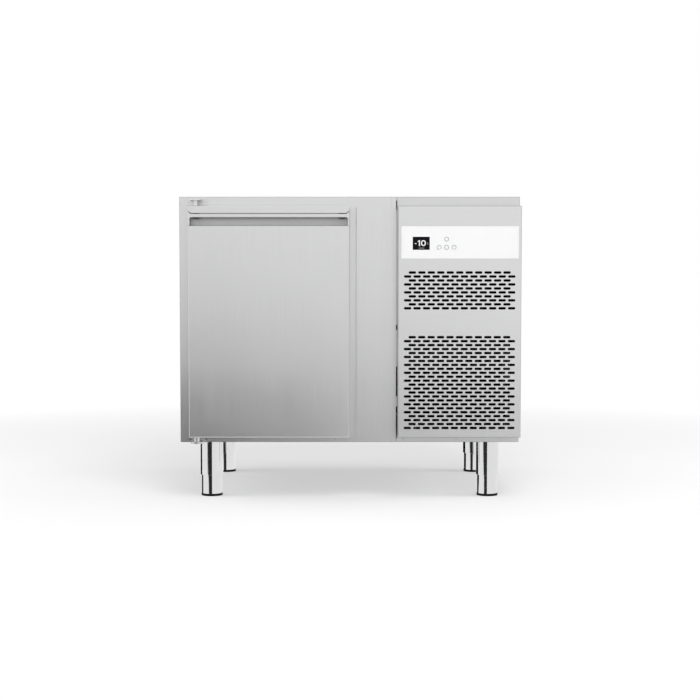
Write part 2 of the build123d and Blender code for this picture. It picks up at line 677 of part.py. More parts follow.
def door_handle_profile():
    """Return the recess with its end walls, the pull lip and the finger channel behind it."""
    profile_y = (FRONT, PROFILE_BACK)
    body = block(DOOR_X, profile_y, (RECESS_FLOOR, LIP_TOP))
    for side, edge in ((-1, DOOR_X[0]), (1, DOOR_X[1])):
        horn_x = sorted((edge, edge - side * CAP_CORNER))
        horn = block(horn_x, profile_y, (LIP_TOP, CAP_BOTTOM + CAP_CORNER))
        body += horn - cap_corner(side, CAP_CORNER + CAP_GROOVE)
    side_edges = [
        edge
        for edge in body.edges().filter_by(Axis.Z)
        if abs(edge.center().Y - FRONT) < SHEET / 2 and edge.length > LIP_TOP - RECESS_FLOOR
    ]
    body = fillet(side_edges, DOOR_BEND)
    channel_y = (LIP_BACK - PROFILE_SHEET, PROFILE_BACK)
    body += block(CHANNEL_X, channel_y, (LIP_TOP, CHANNEL_TOP))
    inside_x = (DOOR_X[0] + RECESS_END_WALL, DOOR_X[1] - RECESS_END_WALL)
    finger_x = (CHANNEL_X[0] + PROFILE_SHEET, CHANNEL_X[1] - PROFILE_SHEET)
    body -= recess_mouth()
    body -= block(inside_x, (LIP_BACK, RECESS_BACK), (RECESS_FLOOR, LIP_TOP - PROFILE_SHEET))
    body -= block(finger_x, (LIP_BACK, RECESS_BACK), (LIP_TOP - PROFILE_SHEET, FINGER_TOP))
    lip_edges = [
        edge
        for edge in body.edges().filter_by(Axis.X)
        if abs(edge.center().Z - LIP_UNDERSIDE) < SHEET / 2 and edge.center().Y < FRONT + SHEET / 2
    ]
    return fillet(lip_edges, LIP_EDGE) - bush_holes


def cap_outline(inset):
    """Return the cap's front outline, drawn in by inset, with its lower corners rounded."""
    width = DOOR_WIDTH - 2 * inset
    height = CAP_HEIGHT - 2 * inset
    middle = (sum(DOOR_X) / 2, CAP_BOTTOM + CAP_HEIGHT / 2)
    outline = Pos(*middle) * Rectangle(width, height)
    lower_corners = outline.vertices().group_by(Axis.Y)[0]
    return Plane.XZ * fillet(lower_corners, CAP_CORNER - inset)


def door_top_cap():
    """Return the hollow cap over the handle, with a slot for the finger channel."""
    depth = DOOR_LINER_FRONT - FRONT
    cap = Pos(0, DOOR_LINER_FRONT, 0) * extrude(cap_outline(0), depth)
    cap = fillet(front_face_edges(cap), CAP_EDGE)
    cap -= Pos(0, DOOR_LINER_FRONT, 0) * extrude(cap_outline(CAP_WALL), depth - CAP_WALL)
    slot_y = (LIP_BACK - PROFILE_SHEET - CAP_EDGE, DOOR_LINER_FRONT)
    slot_x = (DOOR_X[0] + CAP_CORNER, DOOR_X[1] - CAP_CORNER)
    return cap - block(slot_x, slot_y, (CAP_BOTTOM, CAP_BOTTOM + CAP_WALL)) - bush_holes


PLUG_X = (OPENING_X[0] + PLUG_CLEARANCE, OPENING_X[1] - PLUG_CLEARANCE)
PLUG_Z = (ROOM_Z[0] + PLUG_CLEARANCE, ROOM_Z[1] - PLUG_CLEARANCE)
PLUG_BACK = FRAME_FRONT + PLUG_REACH


def door_foam():
    """Return the door's foam: the main slab, the plug, and what lies round the handle."""
    inside_x = (DOOR_X[0] + DOOR_SHEET, DOOR_X[1] - DOOR_SHEET)
    slab_z = (DOOR_BOTTOM + DOOR_SHEET, RECESS_FLOOR - DOOR_SHEET)
    foam = block(inside_x, (FRONT + DOOR_SHEET, DOOR_LINER_FRONT), slab_z)
    foam = fillet(front_face_edges(foam), DOOR_BEND - DOOR_SHEET)
    cap_x = (DOOR_X[0] + CAP_CORNER, DOOR_X[1] - CAP_CORNER)
    foam += block(cap_x, (PROFILE_BACK, DOOR_LINER_FRONT), (slab_z[1], DOOR_TOP - CAP_WALL))
    foam += block(cap_x, (FRONT + CAP_WALL, DOOR_LINER_FRONT), (CHANNEL_TOP, DOOR_TOP - CAP_WALL))
    plug_x = (PLUG_X[0] + DOOR_LINER, PLUG_X[1] - DOOR_LINER)
    plug_z = (PLUG_Z[0] + DOOR_LINER, PLUG_Z[1] - DOOR_LINER)
    plug = block(plug_x, (DOOR_LINER_FRONT, PLUG_BACK - DOOR_LINER), plug_z)
    plug = fillet(plug.edges().group_by(Axis.Y)[-1], PLUG_CORNER - DOOR_LINER)
    return foam + plug - bush_holes


def door_inner_liner():
    """Return the formed inner sheet of the door with its raised, hollow plug."""
    sheet = block(DOOR_X, (DOOR_LINER_FRONT, DOOR_BACK), (DOOR_BOTTOM, DOOR_TOP))
    plug = block(PLUG_X, (DOOR_LINER_FRONT, PLUG_BACK), PLUG_Z)
    plug = fillet(plug.edges().group_by(Axis.Y)[-1], PLUG_CORNER)
    plug_x = (PLUG_X[0] + DOOR_LINER, PLUG_X[1] - DOOR_LINER)
    plug_z = (PLUG_Z[0] + DOOR_LINER, PLUG_Z[1] - DOOR_LINER)
    hollow = block(plug_x, (DOOR_LINER_FRONT, PLUG_BACK - DOOR_LINER), plug_z)
    hollow = fillet(hollow.edges().group_by(Axis.Y)[-1], PLUG_CORNER - DOOR_LINER)
    return sheet + plug - hollow


def door_gasket():
    """Return the sealing ring between the door and the face frame."""
    outer_x = (DOOR_X[0] + HINGE_INSET, DOOR_X[1] - HINGE_INSET)
    outer_z = (DOOR_BOTTOM + HINGE_INSET, DOOR_TOP - HINGE_INSET)
    gasket_y = (DOOR_BACK, FRAME_FRONT - SOFT_CLEARANCE)
    ring = block(outer_x, gasket_y, outer_z)
    ring = fillet(ring.edges().filter_by(Axis.Y), GASKET_CORNER)
    ring -= block(
        (outer_x[0] + GASKET_WIDTH, outer_x[1] - GASKET_WIDTH),
        gasket_y,
        (outer_z[0] + GASKET_WIDTH, outer_z[1] - GASKET_WIDTH),
    )
    return chamfer(ring.edges().group_by(Axis.Y)[-1], GASKET_LIP)


save("door_outer_skin", door_outer_skin())
save("door_handle_profile", door_handle_profile())
save("door_top_cap", door_top_cap())
save("door_foam", door_foam())
save("door_inner_liner", door_inner_liner())
save("door_gasket", door_gasket())

# Machine bay: floor, top, side and back
BAY_X = (BAY_LEFT, RIGHT)
floor_sheet = block(BAY_X, (FRAME_BACK, BACK), (BASE, BAY_FLOOR))
floor_strip = block(BAY_X, FRAME_Y, (BASE, BASE + BAY_FLANGE_BOTTOM))
save("technical_floor", floor_sheet + floor_strip - stud_holes - screw_holes(strip_screw_seats))
top_sheet = block(BAY_X, (FRAME_BACK, BACK), (BAY_CEILING, TOP))
top_strip = block(BAY_X, FRAME_Y, (TOP - BAY_FLANGE_TOP, TOP))
save("technical_top_panel", top_sheet + top_strip)
SIDE_FLANGE_X = (RIGHT - BAY_SIDE_FLANGE, RIGHT)
side_sheet = block((RIGHT - SHEET, RIGHT), (FRAME_BACK, BACK), (BAY_FLOOR, BAY_CEILING))
side_strip = block(SIDE_FLANGE_X, FRAME_Y, (BASE + BAY_FLANGE_BOTTOM, TOP - BAY_FLANGE_TOP))
BACK_FLANGE_X = (RIGHT - PARTITION_FLANGE, RIGHT)
back_strip = block(BACK_FLANGE_X, (BAY_BACK - 2 * SHEET, BAY_BACK - SHEET), (BAY_FLOOR, BAY_CEILING))
side_panel = side_sheet + side_strip + back_strip
save("technical_side_panel", side_panel - screw_holes(back_screw_seats))

GLAND_X = RIGHT - GLAND_INSET
GLAND_HEIGHT = BASE + GLAND_RISE
gland_hole = rod((GLAND_X, BAY_BACK - SHEET, GLAND_HEIGHT), (GLAND_X, BAY_BACK, GLAND_HEIGHT), GLAND_RADIUS)


def technical_back_panel():
    """Return the bay's back sheet with its vents and the hole for the cable gland."""
    sheet = block((BAY_LEFT, RIGHT - SHEET), (BAY_BACK - SHEET, BAY_BACK), (BAY_FLOOR, BAY_CEILING))
    middle = (BAY_LEFT + RIGHT) / 2
    for row in range(VENT_ROWS):
        slot = Plane.XZ * Pos(middle, TOP - VENT_TOP - row * VENT_PITCH) * SlotOverall(*VENT_SLOT)
        sheet -= Pos(0, BAY_BACK, 0) * extrude(slot, SHEET)
    return sheet - gland_hole - screw_holes(back_screw_seats)


save("technical_back_panel", technical_back_panel())


def cable_gland():
    """Return the supply gland: a ring through the back sheet, with a nut inside and out."""
    inner_end = BACK - SHEET - GLAND_LENGTH
    body = rod((GLAND_X, inner_end, GLAND_HEIGHT), (GLAND_X, BACK - SHEET, GLAND_HEIGHT), GLAND_RADIUS)
    lock_nut_front = BAY_BACK - SHEET - GLAND_NUT_LENGTH
    lock_nut_y = (lock_nut_front, BAY_BACK - SHEET)
    dome_y = (BAY_BACK, BAY_BACK + GLAND_NUT_LENGTH)
    for y in (lock_nut_y, dome_y):
        body += rod((GLAND_X, y[0], GLAND_HEIGHT), (GLAND_X, y[1], GLAND_HEIGHT), GLAND_NUT_RADIUS)
    bore = rod((GLAND_X, inner_end, GLAND_HEIGHT), (GLAND_X, BACK - SHEET, GLAND_HEIGHT), GLAND_BORE)
    return body - bore


save("cable_gland", cable_gland())

# Front panel of the bay
BAY_PANEL_X = (BAY_LEFT + BAY_PANEL_GAP, RIGHT)
BAY_PANEL_TOP = PANEL_Z[1]
PLATE_X = (BAY_PANEL_X[0] + PLATE_MARGIN_LEFT, RIGHT - PLATE_MARGIN_RIGHT)
PLATE_Z = (BAY_PANEL_TOP - PLATE_TOP - PLATE_HEIGHT, BAY_PANEL_TOP - PLATE_TOP)


def grille_slots(top_row, rows):
    """Return the slot outlines of one grille; short and long rows take turns, short first."""
    middle = sum(BAY_PANEL_X) / 2
    slots = []
    for row in range(rows):
        count = SLOTS_IN_LONG_ROW - 1 + row % 2
        z = BAY_PANEL_TOP - top_row - row * SLOT_PITCH_Z
        for column in range(count):
            x = middle + (column - (count - 1) / 2) * SLOT_PITCH_X
            slots.append(Plane.XZ * Pos(x, z) * SlotOverall(SLOT_LENGTH, SLOT_HEIGHT))
    return slots


def perforated_sheet(x, z, slots):
    """Return a flat sheet in the panel's front plane, with its slots."""
    middle = (sum(x) / 2, sum(z) / 2)
    rim = (Plane.XZ * Pos(*middle) * Rectangle(x[1] - x[0], z[1] - z[0])).wire()
    face = Face(rim, [slot.wire() for slot in slots])
    return Pos(0, FRONT, 0) * extrude(face, SHEET, dir=(0, 1, 0))


def technical_front_panel():
    """Return the deep tray with two grilles and the cut-out for the control plate."""
    outside = block(BAY_PANEL_X, (FRONT, FRAME_FRONT), PANEL_Z)
    outside = fillet(front_face_edges(outside), BAY_PANEL_BEND)
    inside_x = (BAY_PANEL_X[0] + SHEET, BAY_PANEL_X[1] - SHEET)
    inside_z = (PANEL_Z[0] + SHEET, PANEL_Z[1] - SHEET)
    inside = block(inside_x, (FRONT + SHEET, FRAME_FRONT), inside_z)
    inside = fillet(front_face_edges(inside), BAY_PANEL_BEND - SHEET)
    sheet_y = (FRONT, FRONT + SHEET)
    sheet_x = (PLATE_X[0] - PLATE_CLEARANCE, PLATE_X[1] + PLATE_CLEARANCE)
    plate_hole = block(sheet_x, sheet_y, (PLATE_Z[0] - PLATE_CLEARANCE, PLATE_Z[1] + PLATE_CLEARANCE))
    grille_z = (PANEL_Z[0] + GRILLE_MARGIN, PLATE_Z[0] - GRILLE_MARGIN)
    slots = grille_slots(UPPER_GRILLE_TOP, UPPER_GRILLE_ROWS)
    slots += grille_slots(LOWER_GRILLE_TOP, LOWER_GRILLE_ROWS)
    tray = outside - inside - plate_hole - block(sheet_x, sheet_y, grille_z)
    return tray + perforated_sheet(sheet_x, grille_z, slots)


save("technical_front_panel", technical_front_panel())

# Control plate, display, keys and the board behind them
PLATE_FRONT = FRONT + PLATE_RECESS
PLATE_BACK = FRONT + SHEET + PLATE_SHEET
DISPLAY_X = (PLATE_X[0] + DISPLAY_LEFT, PLATE_X[0] + DISPLAY_LEFT + DISPLAY_WIDTH)
DISPLAY_Z = (PLATE_Z[0] + DISPLAY_BOTTOM, PLATE_Z[0] + DISPLAY_BOTTOM + DISPLAY_HEIGHT)
KEY_X = PLATE_X[0] + KEY_COLUMN
KEY_Z = PLATE_Z[0] + KEY_ROW
KEY_POSITIONS = {
    "key_up": (KEY_X, KEY_Z + KEY_PITCH_Z),
    "key_left": (KEY_X - KEY_PITCH_X, KEY_Z),
    "key_down": (KEY_X, KEY_Z),
    "key_right": (KEY_X + KEY_PITCH_X, KEY_Z),
}
BOARD_FRONT = PLATE_BACK + BOARD_SETBACK
BOARD_X = (DISPLAY_X[0] - BOARD_MARGIN, KEY_X + KEY_PITCH_X + 2 * BOARD_MARGIN)
BOARD_Z = (DISPLAY_Z[0] - BOARD_MARGIN, DISPLAY_Z[1] + BOARD_MARGIN)
SWITCH_FRONT = BOARD_FRONT - SWITCH_HEIGHT


def control_plate():
    """Return the white plate: its face in the cut-out, a wider rim behind, and the board's posts."""
    face = block(PLATE_X, (PLATE_FRONT, FRONT + SHEET), PLATE_Z)
    rim_x = (PLATE_X[0] - PLATE_RIM, PLATE_X[1] + PLATE_RIM)
    rim_z = (PLATE_Z[0] - PLATE_RIM, PLATE_Z[1] + PLATE_RIM)
    plate = face + block(rim_x, (FRONT + SHEET, PLATE_BACK), rim_z)
    window_x = (DISPLAY_X[0] - DISPLAY_CLEARANCE, DISPLAY_X[1] + DISPLAY_CLEARANCE)
    window_z = (DISPLAY_Z[0] - DISPLAY_CLEARANCE, DISPLAY_Z[1] + DISPLAY_CLEARANCE)
    plate -= block(window_x, (FRONT, PLATE_BACK), window_z)
    hole_radius = KEY_RADIUS + KEY_CLEARANCE
    plate -= [rod((x, FRONT, z), (x, PLATE_BACK, z), hole_radius) for x, z in KEY_POSITIONS.values()]
    post_xs = (BOARD_X[0] + BOARD_POST_RADIUS, BOARD_X[1] - BOARD_POST_RADIUS)
    post_zs = (BOARD_Z[0] + BOARD_POST_RADIUS, BOARD_Z[1] - BOARD_POST_RADIUS)
    for x in post_xs:
        for z in post_zs:
            plate += rod((x, PLATE_BACK, z), (x, BOARD_FRONT, z), BOARD_POST_RADIUS)
    return plate


def control_key(x, z):
    """Return a round key: a face in the plate's hole, a flange behind it and a stem."""
    face_front = PLATE_FRONT - KEY_PROUD
    flange_front = PLATE_BACK + KEY_FLANGE_GAP
    stem_end = SWITCH_FRONT - KEY_TRAVEL - SWITCH_GAP
    key = rod((x, face_front, z), (x, flange_front, z), KEY_RADIUS)
    key += rod((x, flange_front, z), (x, flange_front + KEY_FLANGE, z), KEY_FLANGE_RADIUS)
    return key + rod((x, flange_front, z), (x, stem_end, z), KEY_STEM_RADIUS)


def control_board():
    """Return the board with its key switches, display socket, transformer and relay."""
    board_y = (BOARD_FRONT, BOARD_FRONT + BOARD_SHEET)
    board = block(BOARD_X, board_y, BOARD_Z)
    half = SWITCH_WIDTH / 2
    for x, z in KEY_POSITIONS.values():
        board += block((x - half, x + half), (SWITCH_FRONT, BOARD_FRONT), (z - half, z + half))
    back = BOARD_FRONT + BOARD_SHEET
    transformer_x = (BOARD_X[0] + BOARD_MARGIN, BOARD_X[0] + BOARD_MARGIN + TRANSFORMER_WIDTH)
    relay_x = (BOARD_X[1] - BOARD_MARGIN - RELAY_WIDTH, BOARD_X[1] - BOARD_MARGIN)
    part_z = (BOARD_Z[0] + BOARD_MARGIN, BOARD_Z[1] - BOARD_MARGIN)
    board += block(transformer_x, (back, back + TRANSFORMER_DEPTH), part_z)
    board += block(relay_x, (back, back + RELAY_DEPTH), part_z)
    socket_y = (PLATE_FRONT + DISPLAY_RECESS + DISPLAY_DEPTH, BOARD_FRONT)
    socket_z = (DISPLAY_Z[0] + SOCKET_MARGIN, DISPLAY_Z[1] - SOCKET_MARGIN)
    return board + block(DISPLAY_X, socket_y, socket_z)


display_y = (PLATE_FRONT + DISPLAY_RECESS, PLATE_FRONT + DISPLAY_RECESS + DISPLAY_DEPTH)
save("control_plate", control_plate())
save("display_window", block(DISPLAY_X, display_y, DISPLAY_Z))
save("control_board", control_board())
for key_name, (key_x, key_z) in KEY_POSITIONS.items():
    save(key_name, control_key(key_x, key_z))

# Cold room fittings
POST_YS = (ROOM_Y[0] + POST_INSETS[0], ROOM_Y[1] - POST_INSETS[1] - POST_DEPTH)
LEFT_POST_X = (ROOM_X[0], ROOM_X[0] + POST_SHEET)
RIGHT_POST_X = (COVER_X - POST_SHEET, COVER_X)
save(
    "rack_posts",
    *[block(x, (y, y + POST_DEPTH), ROOM_Z) for x in (LEFT_POST_X, RIGHT_POST_X) for y in POST_YS],
)
RUNNER_Y = (POST_YS[0] - RUNNER_OVERHANG, POST_YS[1] + POST_DEPTH + RUNNER_OVERHANG)


def shelf_runner(wall_x, side, height):
    """Return an L section along Y; side is +1 where its ledge points to +X."""
    upright_x = sorted((wall_x, wall_x + side * RUNNER_SHEET))
    ledge_x = sorted((wall_x, wall_x + side * RUNNER_LEDGE))
    base = ROOM_Z[0] + height
    upright = block(upright_x, RUNNER_Y, (base, base + RUNNER_HEIGHT))
    return upright + block(ledge_x, RUNNER_Y, (base, base + RUNNER_SHEET))


save(
    "shelf_runners",
    *[
        shelf_runner(wall_x, side, height)
        for wall_x, side in ((LEFT_POST_X[1], 1), (RIGHT_POST_X[0], -1))
        for height in SHELF_HEIGHTS
    ],
)


def wire_shelf(height):
    """Return a shelf: a rod frame with wires from side to side of it."""
    inset = RUNNER_SHEET + SHELF_CLEARANCE + SHELF_ROD
    x = (LEFT_POST_X[1] + inset, RIGHT_POST_X[0] - inset)
    z = ROOM_Z[0] + height + RUNNER_SHEET + SHELF_ROD
    y = RUNNER_Y
    corners = [(x[0], y[0], z), (x[1], y[0], z), (x[1], y[1], z), (x[0], y[1], z)]
    frame = [rod(start, end, SHELF_ROD) for start, end in zip(corners, corners[1:] + corners[:1])]
    frame += [Pos(*corner) * Sphere(SHELF_ROD) for corner in corners]
    gaps = ceil((x[1] - x[0]) / SHELF_WIRE_PITCH)
    step = (x[1] - x[0]) / gaps
    wires = [
        rod((x[0] + i * step, y[0], z), (x[0] + i * step, y[1], z), SHELF_WIRE) for i in range(1, gaps)
    ]
    return frame[0] + frame[1:] + wires


save("wire_shelf_lower", wire_shelf(SHELF_HEIGHTS[0]))
save("wire_shelf_upper", wire_shelf(SHELF_HEIGHTS[1]))

# Fans: built about their own axis, with +Z towards the plate that carries them


def fan_rotor(blade_radius, hub_radius, thickness, chord):
    """Return a hub with pitched blades and the shaft that enters the motor behind it."""
    span = blade_radius - hub_radius + 2 * BLADE_SHEET
    blade = Rot(BLADE_PITCH, 0, 0) * Box(span, chord, BLADE_SHEET)
    blade = Pos((blade_radius + hub_radius) / 2, 0, 0) * blade
    blades = [Rot(0, 0, 360 * i / FAN_BLADES) * blade for i in range(FAN_BLADES)]
    rotor = (Cylinder(hub_radius, thickness) + blades) & Cylinder(blade_radius, thickness)
    motor_front = -thickness / 2 - MOTOR_GAP
    return rotor + rod((0, 0, -thickness / 2), (0, 0, motor_front - SHAFT_ENTRY), SHAFT_RADIUS)


def fan_motor(body_radius, body_length, thickness, post_circle, plate_distance):
    """Return a motor on three arms, whose posts run forward to the plate that carries it."""
    front = -thickness / 2 - MOTOR_GAP
    motor = rod((0, 0, front - body_length), (0, 0, front), body_radius)
    arm_z = (front - body_length, front - body_length + ARM_SHEET)
    for turn in ARM_TURNS:
        arm = block((0, post_circle), (-ARM_WIDTH / 2, ARM_WIDTH / 2), arm_z)
        post = rod((post_circle, 0, arm_z[0]), (post_circle, 0, plate_distance), POST_RADIUS)
        motor += Rot(0, 0, turn) * (arm + post)
    bore_end = front - SHAFT_ENTRY - SHAFT_RADIUS
    return motor - rod((0, 0, bore_end), (0, 0, front), SHAFT_RADIUS + SHAFT_CLEARANCE)


# Evaporator behind its cover, at the right of the cold room
EVAPORATOR_FOOT = EVAPORATOR_Z[0] - HEATER_DROP - 2 * HEATER_RADIUS
STUB_Y = EVAPORATOR_Y[1] + EVAPORATOR_STUB
EVAPORATOR_FAN_X = COVER_X + SHEET + EVAPORATOR_FAN_OFFSET
EVAPORATOR_FAN_Y = MULLION_BACK + EVAPORATOR_FAN_SETBACK
EVAPORATOR_FAN_Z = ROOM_Z[1] - EVAPORATOR_FAN_TOP


def evaporator_coil():
    """Return fins on straight tubes between two end plates, with the defrost heater below."""
    fins = []
    count = round(EVAPORATOR_LENGTH / EVAPORATOR_FIN_PITCH)
    for i in range(1, count):
        y = EVAPORATOR_Y[0] + i * EVAPORATOR_LENGTH / count
        fins.append(block(EVAPORATOR_X, (y - FIN_SHEET / 2, y + FIN_SHEET / 2), EVAPORATOR_Z))
    plate_x = (EVAPORATOR_X[0], ROOM_X[1])
    plate_z = (EVAPORATOR_FOOT, EVAPORATOR_Z[1])
    for y in (EVAPORATOR_Y[0], EVAPORATOR_Y[1] - END_PLATE):
        fins.append(block(plate_x, (y, y + END_PLATE), plate_z))
    tubes = [
        rod((EVAPORATOR_TUBE_X, EVAPORATOR_Y[0], z), (EVAPORATOR_TUBE_X, EVAPORATOR_Y[1], z), EVAPORATOR_TUBE)
        for z in even_heights(EVAPORATOR_PORTS, EVAPORATOR_TUBE_ROWS)
    ]
    for z, radius in zip(EVAPORATOR_PORTS, (SUCTION_PIPE, CAPILLARY_PIPE)):
        start = (EVAPORATOR_TUBE_X, EVAPORATOR_Y[1], z)
        tubes.append(rod(start, (EVAPORATOR_TUBE_X, STUB_Y, z), radius))
    heater_z = EVAPORATOR_Z[0] - HEATER_DROP
    heater_end = (EVAPORATOR_TUBE_X, EVAPORATOR_Y[1], heater_z)
    tubes.append(rod((EVAPORATOR_TUBE_X, EVAPORATOR_Y[0], heater_z), heater_end, HEATER_RADIUS))
    return fins[0] + fins[1:] + tubes


def evaporator_cover():
    """Return the sheet between the room and the evaporator, slotted at the fan and at the floor."""
    cover_y = (MULLION_BACK, ROOM_Y[1])
    sheet = block((COVER_X, COVER_X + SHEET), cover_y, ROOM_Z)
    rows = int(EVAPORATOR_BLADE_RADIUS / VENT_PITCH)
    for row in range(-rows, rows + 1):
        rise = row * VENT_PITCH
        half = (EVAPORATOR_BLADE_RADIUS**2 - rise**2) ** 0.5
        slot_y = (EVAPORATOR_FAN_Y - half, EVAPORATOR_FAN_Y + half)
        low = EVAPORATOR_FAN_Z + rise - VENT_SLOT[1] / 2
        sheet -= block((COVER_X, COVER_X + SHEET), slot_y, (low, low + VENT_SLOT[1]))
    inlet_y = (cover_y[0] + EVAPORATOR_SETBACK, cover_y[1] - DRAIN_INSET)
    for row in range(INLET_ROWS):
        low = ROOM_Z[0] + (row + 1) * VENT_PITCH
        sheet -= block((COVER_X, COVER_X + SHEET), inlet_y, (low, low + VENT_SLOT[1]))
    return sheet


def drip_tray():
    """Return the tray under the evaporator, its sump, and the drain pipe through the wall."""
    tray_y = (EVAPORATOR_Y[0] - DRIP_OVERHANG, EVAPORATOR_Y[1] + DRIP_OVERHANG)
    base = ROOM_Z[0] + DRIP_RISE
    tray_x = (COVER_X + SHEET + DRIP_CLEARANCE, ROOM_X[1])
    tray = block(tray_x, tray_y, (base, EVAPORATOR_FOOT))
    inside_x = (tray_x[0] + DRIP_WALL, tray_x[1] - DRIP_WALL)
    inside_y = (tray_y[0] + DRIP_WALL, tray_y[1] - DRIP_WALL)
    tray -= block(inside_x, inside_y, (base + DRIP_WALL, EVAPORATOR_FOOT))
    sump_y = (DRAIN_Y - SUMP_WIDTH / 2, DRAIN_Y + SUMP_WIDTH / 2)
    tray += block((ROOM_X[1] - SUMP_WIDTH, ROOM_X[1]), sump_y, (ROOM_Z[0], base))
    outlet = (PARTITION + DRAIN_REACH, DRAIN_Y, DRAIN_Z)
    tray += rod((ROOM_X[1], DRAIN_Y, DRAIN_Z), outlet, DRAIN_RADIUS)
    sump_middle = (ROOM_X[1] - SUMP_WIDTH / 2, DRAIN_Y, DRAIN_Z)
    bore_radius = DRAIN_RADIUS - DRIP_WALL
    tray -= rod(sump_middle, outlet, bore_radius)
    return tray - rod(sump_middle, (sump_middle[0], DRAIN_Y, base + DRIP_WALL), bore_radius)


evaporator_fan_place = Plane(
    origin=(EVAPORATOR_FAN_X, EVAPORATOR_FAN_Y, EVAPORATOR_FAN_Z), x_dir=(0, 1, 0), z_dir=(-1, 0, 0)
).location
evaporator_rotor = fan_rotor(
    EVAPORATOR_BLADE_RADIUS,
    EVAPORATOR_HUB_RADIUS,
    EVAPORATOR_BLADE_THICKNESS,
    EVAPORATOR_BLADE_CHORD,
)
evaporator_motor = fan_motor(
    EVAPORATOR_MOTOR_RADIUS,
    EVAPORATOR_MOTOR_LENGTH,
    EVAPORATOR_BLADE_THICKNESS,
    EVAPORATOR_BLADE_RADIUS + FAN_TIP_GAP + POST_RADIUS,
    EVAPORATOR_FAN_OFFSET,
)
save("evaporator_coil", evaporator_coil())
save("evaporator_cover", evaporator_cover())
save("drip_tray", drip_tray())
save("evaporator_fan_blade", evaporator_fan_place * evaporator_rotor)
save("evaporator_fan_motor", evaporator_fan_place * evaporator_motor)

# Condenser with its fan, behind the lower grille
CONDENSER_X = (BAY_LEFT + CONDENSER_LEFT, BAY_LEFT + CONDENSER_LEFT + CONDENSER_WIDTH)
CONDENSER_Y = (FRAME_FRONT + CONDENSER_SETBACK, FRAME_FRONT + CONDENSER_SETBACK + CONDENSER_DEPTH)
CONDENSER_Z = (BAY_FLOOR + CONDENSER_RISE, BAY_FLOOR + CONDENSER_RISE + CONDENSER_HEIGHT)
CONDENSER_MIDDLE_Y = sum(CONDENSER_Y) / 2
CONDENSER_PORT_X = CONDENSER_X[1] + CONDENSER_STUB
CONDENSER_PORTS = (CONDENSER_Z[0] + CONDENSER_TUBE_INSET, CONDENSER_Z[1] - CONDENSER_TUBE_INSET)


def condenser_coil():
    """Return upright fins on level tubes, between end plates that stand on the bay's floor."""
    fins = []
    count = round(CONDENSER_WIDTH / CONDENSER_FIN_PITCH)
    for i in range(1, count):
        x = CONDENSER_X[0] + i * CONDENSER_WIDTH / count
        fins.append(block((x - FIN_SHEET / 2, x + FIN_SHEET / 2), CONDENSER_Y, CONDENSER_Z))
    for x in (CONDENSER_X[0], CONDENSER_X[1] - END_PLATE):
        fins.append(block((x, x + END_PLATE), CONDENSER_Y, (BAY_FLOOR, CONDENSER_Z[1])))
    tubes = []
    for z in even_heights(CONDENSER_PORTS, CONDENSER_TUBE_ROWS):
        start = (CONDENSER_X[0], CONDENSER_MIDDLE_Y, z)
        tubes.append(rod(start, (CONDENSER_X[1], CONDENSER_MIDDLE_Y, z), CONDENSER_TUBE))
    for z, radius in ((CONDENSER_PORTS[0], LIQUID_PIPE), (CONDENSER_PORTS[1], DISCHARGE_PIPE)):
        start = (CONDENSER_X[1], CONDENSER_MIDDLE_Y, z)
        tubes.append(rod(start, (CONDENSER_PORT_X, CONDENSER_MIDDLE_Y, z), radius))
    return fins[0] + fins[1:] + tubes


CONDENSER_FAN_X = sum(CONDENSER_X) / 2
CONDENSER_FAN_Z = sum(CONDENSER_Z) / 2
SHROUD_BACK = CONDENSER_Y[1] + SHROUD_SHEET
COLLAR_BORE = CONDENSER_BLADE_RADIUS + FAN_TIP_GAP
CONDENSER_FAN_Y = SHROUD_BACK + SHROUD_COLLAR / 2


def condenser_fan_shroud():
    """Return the plate behind the condenser, with a round collar for the fan."""
    plate = block(CONDENSER_X, (CONDENSER_Y[1], SHROUD_BACK), CONDENSER_Z)
    front = (CONDENSER_FAN_X, CONDENSER_Y[1], CONDENSER_FAN_Z)
    back = (CONDENSER_FAN_X, SHROUD_BACK + SHROUD_COLLAR, CONDENSER_FAN_Z)
    return plate + rod(front, back, COLLAR_BORE + SHROUD_SHEET) - rod(front, back, COLLAR_BORE)


condenser_fan_place = Plane(
    origin=(CONDENSER_FAN_X, CONDENSER_FAN_Y, CONDENSER_FAN_Z), x_dir=(1, 0, 0), z_dir=(0, -1, 0)
).location
condenser_rotor = fan_rotor(
    CONDENSER_BLADE_RADIUS,
    CONDENSER_HUB_RADIUS,
    CONDENSER_BLADE_THICKNESS,
    CONDENSER_BLADE_CHORD,
)
condenser_motor = fan_motor(
    CONDENSER_MOTOR_RADIUS,
    CONDENSER_MOTOR_LENGTH,
    CONDENSER_BLADE_THICKNESS,
    COLLAR_BORE + SHROUD_SHEET + POST_RADIUS,
    SHROUD_COLLAR / 2,
)
save("condenser_coil", condenser_coil())
save("condenser_fan_shroud", condenser_fan_shroud())
save("condenser_fan_blade", condenser_fan_place * condenser_rotor)
save("condenser_fan_motor", condenser_fan_place * condenser_motor)

